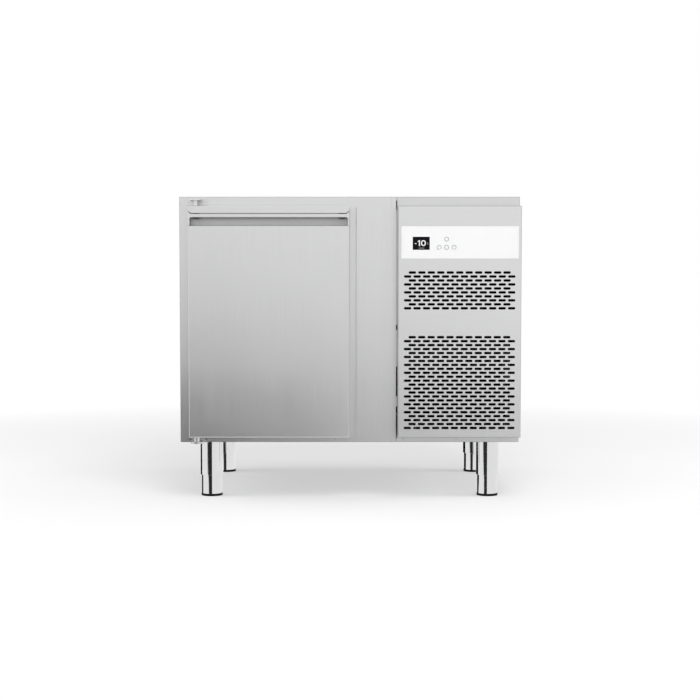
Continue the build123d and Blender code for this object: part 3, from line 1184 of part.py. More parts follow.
# Compressor on rubber mounts
COMPRESSOR_X = RIGHT - COMPRESSOR_SIDE_INSET
COMPRESSOR_Y = BACK - COMPRESSOR_BACK_INSET
DISCHARGE_HEIGHT = BAY_FLOOR + DISCHARGE_RISE
BASE_PLATE_Z = (BAY_FLOOR + MOUNT_HEIGHT, BAY_FLOOR + MOUNT_HEIGHT + BASE_PLATE_SHEET)
SHELL_Z = (BASE_PLATE_Z[1], BASE_PLATE_Z[1] + COMPRESSOR_HEIGHT)
WELD_Z = (sum(SHELL_Z) / 2 - WELD_FLANGE_HEIGHT / 2, sum(SHELL_Z) / 2 + WELD_FLANGE_HEIGHT / 2)
mount_positions = [
    (COMPRESSOR_X + side_x * MOUNT_SPREAD, COMPRESSOR_Y + side_y * MOUNT_SPREAD)
    for side_x in (-1, 1)
    for side_y in (-1, 1)
]
SUCTION_PORT = (COMPRESSOR_X - COMPRESSOR_RADIUS - PORT_REACH, COMPRESSOR_Y, EVAPORATOR_PORTS[0])
DISCHARGE_PORT = (COMPRESSOR_X + COMPRESSOR_RADIUS + PORT_REACH, COMPRESSOR_Y, DISCHARGE_HEIGHT)


def compressor():
    """Return the domed shell with its weld flange, ports and base plate."""
    foot = (COMPRESSOR_X, COMPRESSOR_Y, SHELL_Z[0])
    shell = rod(foot, (COMPRESSOR_X, COMPRESSOR_Y, SHELL_Z[1]), COMPRESSOR_RADIUS)
    shell = fillet(shell.edges().filter_by(GeomType.CIRCLE), COMPRESSOR_DOME)
    weld_foot = (COMPRESSOR_X, COMPRESSOR_Y, WELD_Z[0])
    weld_head = (COMPRESSOR_X, COMPRESSOR_Y, WELD_Z[1])
    shell += rod(weld_foot, weld_head, COMPRESSOR_RADIUS + WELD_FLANGE)
    shell += rod((COMPRESSOR_X, COMPRESSOR_Y, EVAPORATOR_PORTS[0]), SUCTION_PORT, SUCTION_PIPE)
    shell += rod((COMPRESSOR_X, COMPRESSOR_Y, DISCHARGE_HEIGHT), DISCHARGE_PORT, DISCHARGE_PIPE)
    half = BASE_PLATE_SIDE / 2
    plate_x = (COMPRESSOR_X - half, COMPRESSOR_X + half)
    plate = block(plate_x, (COMPRESSOR_Y - half, COMPRESSOR_Y + half), BASE_PLATE_Z)
    neck_radius = MOUNT_NECK + MOUNT_CLEARANCE
    holes = [rod((x, y, BASE_PLATE_Z[0]), (x, y, BASE_PLATE_Z[1]), neck_radius) for x, y in mount_positions]
    return shell + (plate - holes)


def compressor_mount(x, y):
    """Return a rubber mount: a wide foot, a neck through the base plate and a cap above it."""
    cap_base = BASE_PLATE_Z[1]
    mount = rod((x, y, BAY_FLOOR), (x, y, BASE_PLATE_Z[0]), MOUNT_RADIUS)
    mount += rod((x, y, BASE_PLATE_Z[0]), (x, y, cap_base), MOUNT_NECK)
    return mount + rod((x, y, cap_base), (x, y, cap_base + MOUNT_CAP_HEIGHT), MOUNT_CAP_RADIUS)


def terminal_box():
    """Return the electrical box, cut to the round of the shell."""
    back = COMPRESSOR_Y + COMPRESSOR_RADIUS + TERMINAL_BOX_DEPTH
    box_x = (COMPRESSOR_X - TERMINAL_BOX_WIDTH / 2, COMPRESSOR_X + TERMINAL_BOX_WIDTH / 2)
    box = block(box_x, (COMPRESSOR_Y, back), (SHELL_Z[0] + COMPRESSOR_DOME, WELD_Z[0]))
    return box - rod((COMPRESSOR_X, COMPRESSOR_Y, BASE), (COMPRESSOR_X, COMPRESSOR_Y, TOP), COMPRESSOR_RADIUS)


save("compressor", compressor())
save("compressor_mounts", *[compressor_mount(x, y) for x, y in mount_positions])
save("terminal_box", terminal_box())

# Drier and pipes
PIPE_SIDE_X = RIGHT - PIPE_SIDE_GAP
DRIER_Z = CONDENSER_PORTS[0]
DRIER_START = CONDENSER_Y[1] + DRIER_SETBACK
DRIER_END = DRIER_START + DRIER_LENGTH + 2 * DRIER_STUB


def filter_drier():
    """Return the drier: a cylinder with necked ends and a stub at each."""
    body_start = (PIPE_SIDE_X, DRIER_START + DRIER_STUB, DRIER_Z)
    body_end = (PIPE_SIDE_X, DRIER_END - DRIER_STUB, DRIER_Z)
    body = rod(body_start, body_end, DRIER_RADIUS)
    body = chamfer(body.edges().filter_by(GeomType.CIRCLE), DRIER_CONE, DRIER_RADIUS / 2)
    inlet = rod((PIPE_SIDE_X, DRIER_START, DRIER_Z), body_start, LIQUID_PIPE)
    return body + inlet + rod(body_end, (PIPE_SIDE_X, DRIER_END, DRIER_Z), CAPILLARY_PIPE)


discharge_route = [
    DISCHARGE_PORT,
    (PIPE_SIDE_X, COMPRESSOR_Y, DISCHARGE_HEIGHT),
    (PIPE_SIDE_X, COMPRESSOR_Y, CONDENSER_PORTS[1]),
    (PIPE_SIDE_X, CONDENSER_MIDDLE_Y, CONDENSER_PORTS[1]),
    (CONDENSER_PORT_X, CONDENSER_MIDDLE_Y, CONDENSER_PORTS[1]),
]
liquid_route = [
    (CONDENSER_PORT_X, CONDENSER_MIDDLE_Y, CONDENSER_PORTS[0]),
    (PIPE_SIDE_X, CONDENSER_MIDDLE_Y, CONDENSER_PORTS[0]),
    (PIPE_SIDE_X, DRIER_START, DRIER_Z),
]
capillary_route = [
    (PIPE_SIDE_X, DRIER_END, DRIER_Z),
    (PIPE_SIDE_X, PIPE_PASS_Y, DRIER_Z),
    (BAY_LEFT + CAPILLARY_COLUMN, PIPE_PASS_Y, DRIER_Z),
    (BAY_LEFT + CAPILLARY_COLUMN, PIPE_PASS_Y, EVAPORATOR_PORTS[1]),
    (EVAPORATOR_TUBE_X, PIPE_PASS_Y, EVAPORATOR_PORTS[1]),
    (EVAPORATOR_TUBE_X, STUB_Y, EVAPORATOR_PORTS[1]),
]
suction_route = [
    (EVAPORATOR_TUBE_X, STUB_Y, EVAPORATOR_PORTS[0]),
    (EVAPORATOR_TUBE_X, PIPE_PASS_Y, EVAPORATOR_PORTS[0]),
    (BAY_LEFT + SUCTION_COLUMN, PIPE_PASS_Y, EVAPORATOR_PORTS[0]),
    (BAY_LEFT + SUCTION_COLUMN, COMPRESSOR_Y, EVAPORATOR_PORTS[0]),
    SUCTION_PORT,
]
pipes = [
    bent_rod(discharge_route, DISCHARGE_PIPE, PIPE_BEND),
    bent_rod(liquid_route, LIQUID_PIPE, PIPE_BEND),
    bent_rod(capillary_route, CAPILLARY_PIPE, PIPE_BEND),
    bent_rod(suction_route, SUCTION_PIPE, PIPE_BEND),
]
save("filter_drier", filter_drier())
save("refrigerant_pipes", *pipes)


def evaporation_tray():
    """Return the open tray that catches the melt water."""
    width, depth, height = MELT_TRAY_SIZE
    left = BAY_LEFT + MELT_TRAY_LEFT
    back = BAY_BACK - SHEET - MELT_TRAY_BACK
    x, y, z = (left, left + width), (back - depth, back), (BAY_FLOOR, BAY_FLOOR + height)
    inside_x = (x[0] + MELT_TRAY_WALL, x[1] - MELT_TRAY_WALL)
    inside_y = (y[0] + MELT_TRAY_WALL, y[1] - MELT_TRAY_WALL)
    return block(x, y, z) - block(inside_x, inside_y, (z[0] + MELT_TRAY_WALL, z[1]))


save("evaporation_tray", evaporation_tray())
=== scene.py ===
import json
import math

import bmesh
import bpy
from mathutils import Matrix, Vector


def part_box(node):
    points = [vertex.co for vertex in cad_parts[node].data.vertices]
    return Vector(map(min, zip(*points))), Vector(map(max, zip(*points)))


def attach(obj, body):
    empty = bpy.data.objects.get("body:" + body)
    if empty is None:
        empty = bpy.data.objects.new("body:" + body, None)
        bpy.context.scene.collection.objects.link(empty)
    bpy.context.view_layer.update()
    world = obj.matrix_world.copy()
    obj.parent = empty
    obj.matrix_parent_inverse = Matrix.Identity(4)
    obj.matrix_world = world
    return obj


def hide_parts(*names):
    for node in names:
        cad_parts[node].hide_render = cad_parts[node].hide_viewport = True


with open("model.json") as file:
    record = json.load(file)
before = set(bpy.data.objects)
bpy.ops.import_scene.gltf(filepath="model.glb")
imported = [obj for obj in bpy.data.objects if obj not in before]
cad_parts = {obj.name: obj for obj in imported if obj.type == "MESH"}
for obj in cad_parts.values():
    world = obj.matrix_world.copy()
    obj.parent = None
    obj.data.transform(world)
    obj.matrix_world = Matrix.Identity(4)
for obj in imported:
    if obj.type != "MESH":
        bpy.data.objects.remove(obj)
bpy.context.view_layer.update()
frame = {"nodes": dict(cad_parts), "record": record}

MM = 0.001
WHITE = (1.0, 1.0, 1.0)

# Camera: where it stands, its tilt and its lens, in metres and degrees
CAMERA_PLACE = (0.0012, -4.4457, 0.6517)
CAMERA_TILT = 3.28
SENSOR = 36.0
FOCAL_PIXELS = 1505.0
IMAGE_PIXELS = 700.0

# Stage: the floor is shaded near the object and plain white far from it; lengths in metres
FLOOR_REACH = 30.0
FLOOR_COLOUR = 0.57
FLOOR_GLOW = 0.28
SHADED_RADIUS = 0.9
WHITE_RADIUS = 2.6
AMBIENT = 0.58

# Dark studio cards, which only metal shows: name, ends in X and Y, lower and upper edge, and level
CARDS = (
    ("card_near", (-2.193, -1.348), (-0.187, -1.348), (0.04, 0.301), 0.03),
    ("card_middle", (-0.187, -1.348), (0.766, -1.348), (0.04, 0.127), 0.0),
    ("card_far", (-2.755, -4.0), (0.0, -4.0), (-1.6, 0.102), 0.03),
    ("card_side", (-3.7, -4.0), (-2.755, -4.0), (-0.6, -0.2), 0.03),
    ("card_behind", (-3.4, 1.1), (-0.45, 3.0), (-0.53, -0.1), 0.0),
    ("card_low_front", (0.0, -4.0), (4.0, -4.0), (-3.5, -1.0), 0.4),
    ("card_low_right", (4.0, -4.0), (4.0, 4.0), (-3.5, -1.0), 0.4),
    ("card_low_back", (4.0, 4.0), (-4.0, 4.0), (-3.5, -1.0), 0.4),
    ("card_low_left", (-4.0, 4.0), (-4.0, -4.0), (-3.5, -1.0), 0.4),
)
CARD_HIDDEN_FROM = ("camera", "diffuse", "transmission", "volume_scatter", "shadow")

# Lamps: the point that they face, their side in metres, and the name, place and watts of each
LAMP_AIM = (0.0, -0.3, 0.45)
LAMP_SIDE = 1.6
LAMPS = (
    ("high_front", (0.6, -2.4, 3.0), 52.0),
    ("front", (0.0, -3.6, 2.2), 16.0),
    ("key", (2.2, -3.5, 1.2), 11.0),
    ("right", (3.2, 0.0, 1.2), 46.0),
    ("left", (-2.2, 0.0, 1.2), 18.0),
    ("top", (0.0, 0.0, 2.2), 5.0),
)

# Noise: about how many grains each one has to the metre along X, Y and Z
GRAIN = {"x": (5.0, 900.0, 900.0), "z": (900.0, 900.0, 5.0), "y": (900.0, 5.0, 900.0)}
STEEL_CLOUDS = (3.0, 3.0, 3.0)
TUBE_LINES = (400.0, 400.0, 12.0)
TUBE_SMEARS = (18.0, 18.0, 9.0)
MOULDED_SKIN = (900.0, 900.0, 900.0)
MOULDED_CLOUDS = (14.0, 14.0, 14.0)
FOAM_CELLS = (600.0, 600.0, 600.0)
GLOW_CLOUDS = (260.0, 260.0, 260.0)
INK_GRAIN = (1500.0, 1500.0, 1500.0)
NOISE_ROUGHNESS = 0.6
NOISE_SPREAD = (0.3, 0.7)

# Steel and bright tube: the clouds' share beside the steel's grain, the spread of both together,
# and the tints at the two ends of a spread
CLOUD_SHARE = 0.6
STEEL_SPREAD = (0.55, 1.05)
STEEL_DARK = (0.955, 0.957, 0.96)
STEEL_LIGHT = (1.035, 1.037, 1.04)
TUBE_DARK = (0.96, 0.96, 0.965)
TUBE_LIGHT = (1.03, 1.03, 1.035)

# Sheen: how far the roughness strays from its plain level, downwards and upwards
STEEL_SHEEN = (-0.05, 0.05)
TUBE_SHEEN = (0.0, 0.05)
MOULDED_SHEEN = (-0.05, 0.06)

# Bumps: their real heights, and the radius of the rounded edges that they lie over, in metres
STEEL_BUMP = 0.00002
TUBE_BUMP = 0.000004
MOULDED_BUMP = 0.00004
FOAM_BUMP = 0.0004
INK_BUMP = 0.000004
STEEL_EDGE = 0.0002
TUBE_EDGE = 0.0006
MOULDED_EDGE = 0.0004
EDGE_SAMPLES = 4

# Folded edges: the reach in metres and the level of a painted shade line along them, and the
# cosines of the rounded edge's turn at which the painted shade is full and at which it has ended
FOLD_SHADE = (0.0035, 0.5)
FOLD_SHADE_TURN = (0.78, 0.98)
FOLD_SHADE_SAMPLES = 6

# Handle's recess: the reach in metres and the level of the painted shade in it, and the openness at
# which the painted shade is full and at which it has ended
RECESS_SHADE = (0.045, 0.6)
SHADE_OPENNESS = (0.35, 0.85)
SHADE_OPENNESS_SAMPLES = 8

# Bay: how far behind its outer faces its painted black shade begins, in metres, and how dark that is
BAY_SKIN = 0.0003
BAY_PAINTED_SHADE = 0.03

# Rigid foam
FOAM_DARK = (0.74, 0.66, 0.42)
FOAM_LIGHT = (0.84, 0.77, 0.55)
FOAM_ROUGHNESS = 0.9

# Lit glass: the strength of the figures and of the dim marks, and the level to which a glow dips
FIGURE_GLOW = 0.85
MARK_GLOW = 0.14
GLOW_DIP = 0.93
GLASS_COLOUR = (0.05, 0.05, 0.05)
GLASS_ROUGHNESS = 0.4

# Printed ink: its colour, how much paler that gets, and the ends of its roughness
INK_COLOUR = (0.26, 0.33, 0.37)
INK_LIFT = 1.12
INK_ROUGHNESS = (0.45, 0.6)

# Display and keys, in millimetres: where their fronts lie in Y, and how thick a film on them is
DISPLAY_FRONT = -349.3
KEY_FRONT = -349.8
FILM = 0.04

# Ovals: the number of points round one
OVAL_STEPS = 64

# Figures, in millimetres across and up from a point a little above the display's middle; an oval
# has a centre, two half sizes and a power that squares it up
FIGURE_RISE = 0.6
MINUS = ((-17.2, -2.4), (-12.8, -2.4), (-12.8, -0.2), (-17.2, -0.2))
ONE = ((-6.4, -7.9), (-3.2, -7.9), (-3.2, 7.9), (-5.7, 7.9), (-9.6, 5.3), (-9.6, 2.7), (-6.4, 4.7))
NOUGHT = ((6.0, 0.0), (6.6, 7.9), 2.4)
NOUGHT_HOLE = ((6.0, 0.0), (3.5, 5.1), 2.4)

# Dim marks, in millimetres across and up from the display's middle
UNIT_MARK = ((16.2, -3.2), (20.4, -3.2), (20.4, -1.2), (18.2, -1.2), (18.2, 2.8), (16.2, 2.8))
BAR_MARK = ((0.7, -13.0), (8.2, 1.2), 4.0)

# Key rings: their inner and outer radius in millimetres, and for each key the angle at which the
# print starts and the degrees that it runs
KEY_RING = (4.7, 6.2)
KEYS = {
    "key_up": (0.0, 360.0),
    "key_left": (-50.0, 333.0),
    "key_down": (0.0, 360.0),
    "key_right": (-70.0, 333.0),
}

# Door gasket, in millimetres: a section across its width, measured from the ring's outer edge,
# and out from the door liner. A flange, two pleats each side and a magnet pocket that seals.
GASKET_SECTION = (
    (0.6, 0.0), (17.4, 0.0), (18.0, 0.5), (17.6, 1.1), (15.2, 1.4), (14.2, 2.2), (14.9, 2.9),
    (16.6, 3.5), (16.9, 4.1), (15.4, 4.7), (14.9, 5.3), (15.9, 5.8), (16.0, 7.2), (15.4, 7.7),
    (4.2, 7.7), (3.4, 7.2), (3.5, 5.8), (2.4, 5.5), (0.9, 6.5), (0.2, 6.2), (1.4, 4.7),
    (3.2, 4.1), (3.9, 3.4), (3.5, 2.2), (2.6, 1.4), (0.3, 1.1), (0.0, 0.5),
)
GASKET_CORNER = 4.0
CORNER_STEPS = 6
WELD = 0.02

# Condenser, lengths in millimetres: how far its finned block stands above the coil's foot, the
# gaps between the coil's fins, and the thin folded fins in each gap
COIL_RISE = 45.0
COIL_GAPS = 45
COIL_PITCH = 6.0
FINS_PER_GAP = 2
FIN_SHEET = 0.15
FIN_WAVE = 0.35
FIN_FOLDS = 10
FIN_MARGIN = 0.5


def node_tree(name):
    """Return a new material, its nodes and its links, with the shader's default nodes gone."""
    material = bpy.data.materials.new(name)
    material.use_nodes = True
    tree = material.node_tree
    tree.nodes.clear()
    return material, tree.nodes, tree.links


def math_node(nodes, links, operation, first, second):
    """Add a Math node; each input is a number or a socket. Return its output."""
    node = nodes.new("ShaderNodeMath")
    node.operation = operation
    for socket, value in zip(node.inputs, (first, second)):
        if isinstance(value, (int, float)):
            socket.default_value = value
        else:
            links.new(value, socket)
    return node.outputs[0]


def stretched_noise(nodes, links, stretch, detail):
    """Return a noise whose grain is stretched by scaling the object's own coordinates."""
    place = nodes.new("ShaderNodeTexCoord")
    mapping = nodes.new("ShaderNodeMapping")
    mapping.inputs["Scale"].default_value = stretch
    links.new(place.outputs["Object"], mapping.inputs["Vector"])
    noise = nodes.new("ShaderNodeTexNoise")
    noise.inputs["Scale"].default_value = 1.0
    noise.inputs["Detail"].default_value = detail
    noise.inputs["Roughness"].default_value = NOISE_ROUGHNESS
    links.new(mapping.outputs["Vector"], noise.inputs["Vector"])
    return noise.outputs["Fac"]


def remap(nodes, links, value, low, high, source=NOISE_SPREAD):
    """Return value mapped from its source range to low and high."""
    node = nodes.new("ShaderNodeMapRange")
    node.inputs["From Min"].default_value = source[0]
    node.inputs["From Max"].default_value = source[1]
    node.inputs["To Min"].default_value = low
    node.inputs["To Max"].default_value = high
    links.new(value, node.inputs["Value"])
    return node.outputs["Result"]


def tint(nodes, links, value, dark, light):
    """Return a colour between dark and light."""
    mix = nodes.new("ShaderNodeMix")
    mix.data_type = "RGBA"
    mix.inputs["A"].default_value = (*dark, 1.0)
    mix.inputs["B"].default_value = (*light, 1.0)
    links.new(value, mix.inputs["Factor"])
    return mix.outputs["Result"]


def scaled(colour, factor):
    """Return a colour scaled by a number, with no part of it above 1."""
    return tuple(min(part * factor, 1.0) for part in colour)


def principled(nodes, links):
    """Add a Principled shader joined to the output. Return it."""
    shader = nodes.new("ShaderNodeBsdfPrincipled")
    output = nodes.new("ShaderNodeOutputMaterial")
    links.new(shader.outputs["BSDF"], output.inputs["Surface"])
    return shader


def bump(nodes, links, shader, height, distance, edge=None):
    """Give the shader a bump of real height, over edges rounded by edge if one is given."""
    node = nodes.new("ShaderNodeBump")
    node.inputs["Distance"].default_value = distance
    links.new(height, node.inputs["Height"])
    if edge:
        bevel = nodes.new("ShaderNodeBevel")
        bevel.samples = EDGE_SAMPLES
        bevel.inputs["Radius"].default_value = edge
        links.new(bevel.outputs["Normal"], node.inputs["Normal"])
    links.new(node.outputs["Normal"], shader.inputs["Normal"])


def darkened(nodes, links, colour, factor):
    """Return a colour scaled by the factor that a socket gives."""
    node = nodes.new("ShaderNodeVectorMath")
    node.operation = "SCALE"
    links.new(colour, node.inputs[0])
    links.new(factor, node.inputs["Scale"])
    return node.outputs["Vector"]


def painted_recess_shade(nodes, links, reach, deepest):
    """Return painted shade: 1 in the open and deepest inside a recess about as wide as reach."""
    node = nodes.new("ShaderNodeAmbientOcclusion")
    node.samples = SHADE_OPENNESS_SAMPLES
    node.inputs["Distance"].default_value = reach
    return remap(nodes, links, node.outputs["AO"], deepest, 1.0, source=SHADE_OPENNESS)


def painted_edge_shade(nodes, links, radius, deepest):
    """Return a painted shade line: deepest along the sheet's folded edges and 1 away from them."""
    bevel = nodes.new("ShaderNodeBevel")
    bevel.samples = FOLD_SHADE_SAMPLES
    bevel.inputs["Radius"].default_value = radius
    surface = nodes.new("ShaderNodeNewGeometry")
    turned = nodes.new("ShaderNodeVectorMath")
    turned.operation = "DOT_PRODUCT"
    links.new(bevel.outputs["Normal"], turned.inputs[0])
    links.new(surface.outputs["Normal"], turned.inputs[1])
    return remap(nodes, links, turned.outputs["Value"], deepest, 1.0, source=FOLD_SHADE_TURN)


def outside_box(nodes, links, low, high, inside):
    """Return 1 outside a box of the object's own coordinates, and inside within it."""
    place = nodes.new("ShaderNodeTexCoord")
    axes = nodes.new("ShaderNodeSeparateXYZ")
    links.new(place.outputs["Object"], axes.inputs[0])
    within = None
    for axis, (least, most) in enumerate(zip(low, high)):
        above = math_node(nodes, links, "GREATER_THAN", axes.outputs[axis], least)
        below = math_node(nodes, links, "LESS_THAN", axes.outputs[axis], most)
        both = math_node(nodes, links, "MULTIPLY", above, below)
        within = math_node(nodes, links, "MULTIPLY", within, both) if within else both
    return remap(nodes, links, within, 1.0, inside, source=(0.0, 1.0))


def bay_shade_corners():
    """Return the corners of the painted black shade: the space just behind the compartment's outer
    sheets.
    """
    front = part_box("technical_front_panel")
    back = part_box("technical_back_panel")
    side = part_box("technical_side_panel")
    low = (front[0][0] + BAY_SKIN, front[0][1] + BAY_SKIN, front[0][2] + BAY_SKIN)
    high = (side[1][0] - BAY_SKIN, back[0][1] + BAY_SKIN, front[1][2] - BAY_SKIN)
    return low, high


def steel(name, tone=0.74, grain="x", roughness=0.36, edge=STEEL_EDGE, edge_shade=None, recess_shade=None, bay_shade=False):
    """Return satin steel: fine brushed grain, faint cloudy smears and softly rounded edges.

    fold is the reach and level of a painted shade line along folded edges, hollow those of painted
    shade deep in a recess, and bay paints black shade on the faces inside the technical compartment.
    """
    material, nodes, links = node_tree(name)
    shader = principled(nodes, links)
    fine = stretched_noise(nodes, links, GRAIN[grain], detail=2.0)
    clouds = stretched_noise(nodes, links, STEEL_CLOUDS, detail=4.0)
    share = math_node(nodes, links, "MULTIPLY", clouds, CLOUD_SHARE)
    both = math_node(nodes, links, "ADD", fine, share)
    shade = remap(nodes, links, both, 0.0, 1.0, source=STEEL_SPREAD)
    colour = tint(nodes, links, shade, scaled(STEEL_DARK, tone), scaled(STEEL_LIGHT, tone))
    # Painted shade: a darker line painted along the folded edges
    if edge_shade:
        colour = darkened(nodes, links, colour, painted_edge_shade(nodes, links, *edge_shade))
    # Painted shade: darker colour painted deep in the handle's recess, where shade falls
    if recess_shade:
        colour = darkened(nodes, links, colour, painted_recess_shade(nodes, links, *recess_shade))
    # Painted shade: the faces inside the technical compartment painted black, where shade falls
    if bay_shade:
        colour = darkened(nodes, links, colour, outside_box(nodes, links, *bay_shade_corners(), BAY_PAINTED_SHADE))
    links.new(colour, shader.inputs["Base Color"])
    smoothest, roughest = (roughness + stray for stray in STEEL_SHEEN)
    rough = remap(nodes, links, both, smoothest, roughest, source=STEEL_SPREAD)
    links.new(rough, shader.inputs["Roughness"])
    shader.inputs["Metallic"].default_value = 1.0
    bump(nodes, links, shader, fine, STEEL_BUMP, edge=edge)
    return material


def polished(name, tone=0.74, roughness=0.06):
    """Return bright drawn tube: near mirror, with fine lines along it and a few smears."""
    material, nodes, links = node_tree(name)
    shader = principled(nodes, links)
    lines = stretched_noise(nodes, links, TUBE_LINES, detail=2.0)
    smears = stretched_noise(nodes, links, TUBE_SMEARS, detail=4.0)
    shade = remap(nodes, links, smears, 0.0, 1.0)
    colour = tint(nodes, links, shade, scaled(TUBE_DARK, tone), scaled(TUBE_LIGHT, tone))
    links.new(colour, shader.inputs["Base Color"])
    smoothest, roughest = (roughness + stray for stray in TUBE_SHEEN)
    links.new(remap(nodes, links, smears, smoothest, roughest), shader.inputs["Roughness"])
    shader.inputs["Metallic"].default_value = 1.0
    bump(nodes, links, shader, lines, TUBE_BUMP, edge=TUBE_EDGE)
    return material


def moulded(name, colour, roughness=0.5, depth=MOULDED_BUMP, variation=0.06, gloss=0.5, metallic=0.0):
    """Return plastic, rubber, paint or copper: fine grain, and slightly uneven colour and sheen."""
    material, nodes, links = node_tree(name)
    shader = principled(nodes, links)
    skin = stretched_noise(nodes, links, MOULDED_SKIN, detail=2.0)
    clouds = stretched_noise(nodes, links, MOULDED_CLOUDS, detail=4.0)
    shade = remap(nodes, links, clouds, 0.0, 1.0)
    dark = scaled(colour, 1.0 - variation)
    light = scaled(colour, 1.0 + variation)
    links.new(tint(nodes, links, shade, dark, light), shader.inputs["Base Color"])
    smoothest, roughest = (roughness + stray for stray in MOULDED_SHEEN)
    links.new(remap(nodes, links, clouds, smoothest, roughest), shader.inputs["Roughness"])
    shader.inputs["Metallic"].default_value = metallic
    shader.inputs["Specular IOR Level"].default_value = gloss
    bump(nodes, links, shader, skin, depth, edge=MOULDED_EDGE)
    return material


def foam_block(name):
    """Return rigid foam: small cells in the skin of a pale block."""
    material, nodes, links = node_tree(name)
    shader = principled(nodes, links)
    cells = stretched_noise(nodes, links, FOAM_CELLS, detail=3.0)
    shade = remap(nodes, links, cells, 0.0, 1.0)
    links.new(tint(nodes, links, shade, FOAM_DARK, FOAM_LIGHT), shader.inputs["Base Color"])
    shader.inputs["Roughness"].default_value = FOAM_ROUGHNESS
    bump(nodes, links, shader, cells, FOAM_BUMP)
    return material


def lit(name, strength):
    """Return the lit glass of the display: a white glow, a little uneven across each stroke."""
    material, nodes, links = node_tree(name)
    shader = principled(nodes, links)
    clouds = stretched_noise(nodes, links, GLOW_CLOUDS, detail=2.0)
    shade = remap(nodes, links, clouds, 0.0, 1.0)
    glow = tint(nodes, links, shade, scaled(WHITE, GLOW_DIP), WHITE)
    links.new(glow, shader.inputs["Emission Color"])
    shader.inputs["Emission Strength"].default_value = strength
    shader.inputs["Base Color"].default_value = (*GLASS_COLOUR, 1.0)
    shader.inputs["Roughness"].default_value = GLASS_ROUGHNESS
    return material


def ink(name, colour):
    """Return printed ink: a thin, slightly uneven matt film."""
    material, nodes, links = node_tree(name)
    shader = principled(nodes, links)
    film = stretched_noise(nodes, links, INK_GRAIN, detail=2.0)
    shade = remap(nodes, links, film, 0.0, 1.0)
    light = scaled(colour, INK_LIFT)
    links.new(tint(nodes, links, shade, colour, light), shader.inputs["Base Color"])
    links.new(remap(nodes, links, film, *INK_ROUGHNESS), shader.inputs["Roughness"])
    bump(nodes, links, shader, film, INK_BUMP)
    return material


# The record's material slots, and how the material of each one is made
SLOTS = {
    "casing_steel": (steel, dict(grain="y", roughness=0.46, edge_shade=FOLD_SHADE, bay_shade=True)),
    "frame_steel": (steel, dict(grain="z", edge_shade=FOLD_SHADE)),
    "front_steel": (steel, dict(grain="z")),
    "grille_steel": (steel, dict(edge=None, bay_shade=True)),
    "door_steel": (steel, dict(grain="z", edge_shade=FOLD_SHADE)),
    "handle_steel": (steel, dict(recess_shade=RECESS_SHADE)),
    "cap_steel": (steel, dict()),
    "liner_steel": (steel, dict(tone=0.78, roughness=0.3)),
    "hinge_steel": (steel, dict()),
    "screw_steel": (steel, dict(tone=0.68, roughness=0.3)),
    "rack_steel": (polished, dict(tone=0.76, roughness=0.14)),
    "leg_steel": (polished, dict()),
    "foot_steel": (polished, dict()),
    "pad_rubber": (moulded, dict(colour=(0.008, 0.008, 0.009), roughness=0.62, gloss=0.1)),
    "bush_plastic": (moulded, dict(colour=(0.12, 0.12, 0.122), roughness=0.45, gloss=0.15)),
    "foam": (foam_block, dict()),
    "gasket_rubber": (moulded, dict(colour=(0.20, 0.20, 0.21), roughness=0.6)),
    "control_white": (moulded, dict(colour=(0.96, 0.96, 0.96), roughness=0.35, variation=0.01)),
    "display_black": (
        moulded, dict(colour=(0.004, 0.004, 0.005), roughness=0.3, depth=0.000005, gloss=0.08),
    ),
    "key_plastic": (moulded, dict(colour=(0.94, 0.94, 0.94), roughness=0.4, variation=0.01)),
    "board_green": (moulded, dict(colour=(0.02, 0.16, 0.06), roughness=0.35)),
    "coil_aluminium": (steel, dict(tone=0.78, roughness=0.3, edge=None)),
    "condenser_paint": (moulded, dict(colour=(0.006, 0.006, 0.006), roughness=0.6, gloss=0.1)),
    "copper": (moulded, dict(colour=(0.50, 0.23, 0.13), roughness=0.35, depth=0.00001, metallic=1.0)),
    "compressor_paint": (moulded, dict(colour=(0.012, 0.012, 0.013), roughness=0.28)),
    "motor_paint": (moulded, dict(colour=(0.01, 0.01, 0.01), gloss=0.15)),
    "fan_plastic": (moulded, dict(colour=(0.01, 0.01, 0.011), roughness=0.55, gloss=0.15)),
    "shroud_paint": (moulded, dict(colour=(0.008, 0.008, 0.008), roughness=0.6, gloss=0.1)),
    "mount_rubber": (moulded, dict(colour=(0.015, 0.015, 0.015), roughness=0.7, gloss=0.2)),
    "tray_plastic": (moulded, dict(colour=(0.05, 0.05, 0.052), gloss=0.3)),
    "gland_plastic": (moulded, dict(colour=(0.02, 0.02, 0.02), gloss=0.3)),
}


def dress_nodes(made):
    """Give every node the material of its slot."""
    slots = {row["node"]: row["material_slot"] for row in frame["record"]["subparts"]}
    for name, node in frame["nodes"].items():
        material = made[slots[name]]
        for index in range(len(node.data.materials)):
            node.data.materials[index] = material
        if not node.data.materials:
            node.data.materials.append(material)


def add_object(name, data):
    """Put new data into the scene as an object. Return it."""
    added = bpy.data.objects.new(name, data)
    bpy.context.scene.collection.objects.link(added)
    return added


def light_paths(nodes, links):
    """Return 1 for rays that show the background: the camera's own, mirrored and passed on ones."""
    path = nodes.new("ShaderNodeLightPath")
    shown = path.outputs["Is Camera Ray"]
    for name in ("Is Glossy Ray", "Is Transmission Ray"):
        shown = math_node(nodes, links, "MAXIMUM", shown, path.outputs[name])
    return shown


def white_world():
    """Light the set softly from all round, and show white behind it."""
    world = bpy.data.worlds.new("studio")
    bpy.context.scene.world = world
    world.use_nodes = True
    nodes, links = world.node_tree.nodes, world.node_tree.links
    nodes.clear()
    output = nodes.new("ShaderNodeOutputWorld")
    mix = nodes.new("ShaderNodeMixShader")
    links.new(light_paths(nodes, links), mix.inputs["Fac"])
    for index, strength in enumerate((AMBIENT, 1.0), start=1):
        background = nodes.new("ShaderNodeBackground")
        background.inputs["Color"].default_value = (*WHITE, 1.0)
        background.inputs["Strength"].default_value = strength
        links.new(background.outputs[0], mix.inputs[index])
    links.new(mix.outputs[0], output.inputs["Surface"])


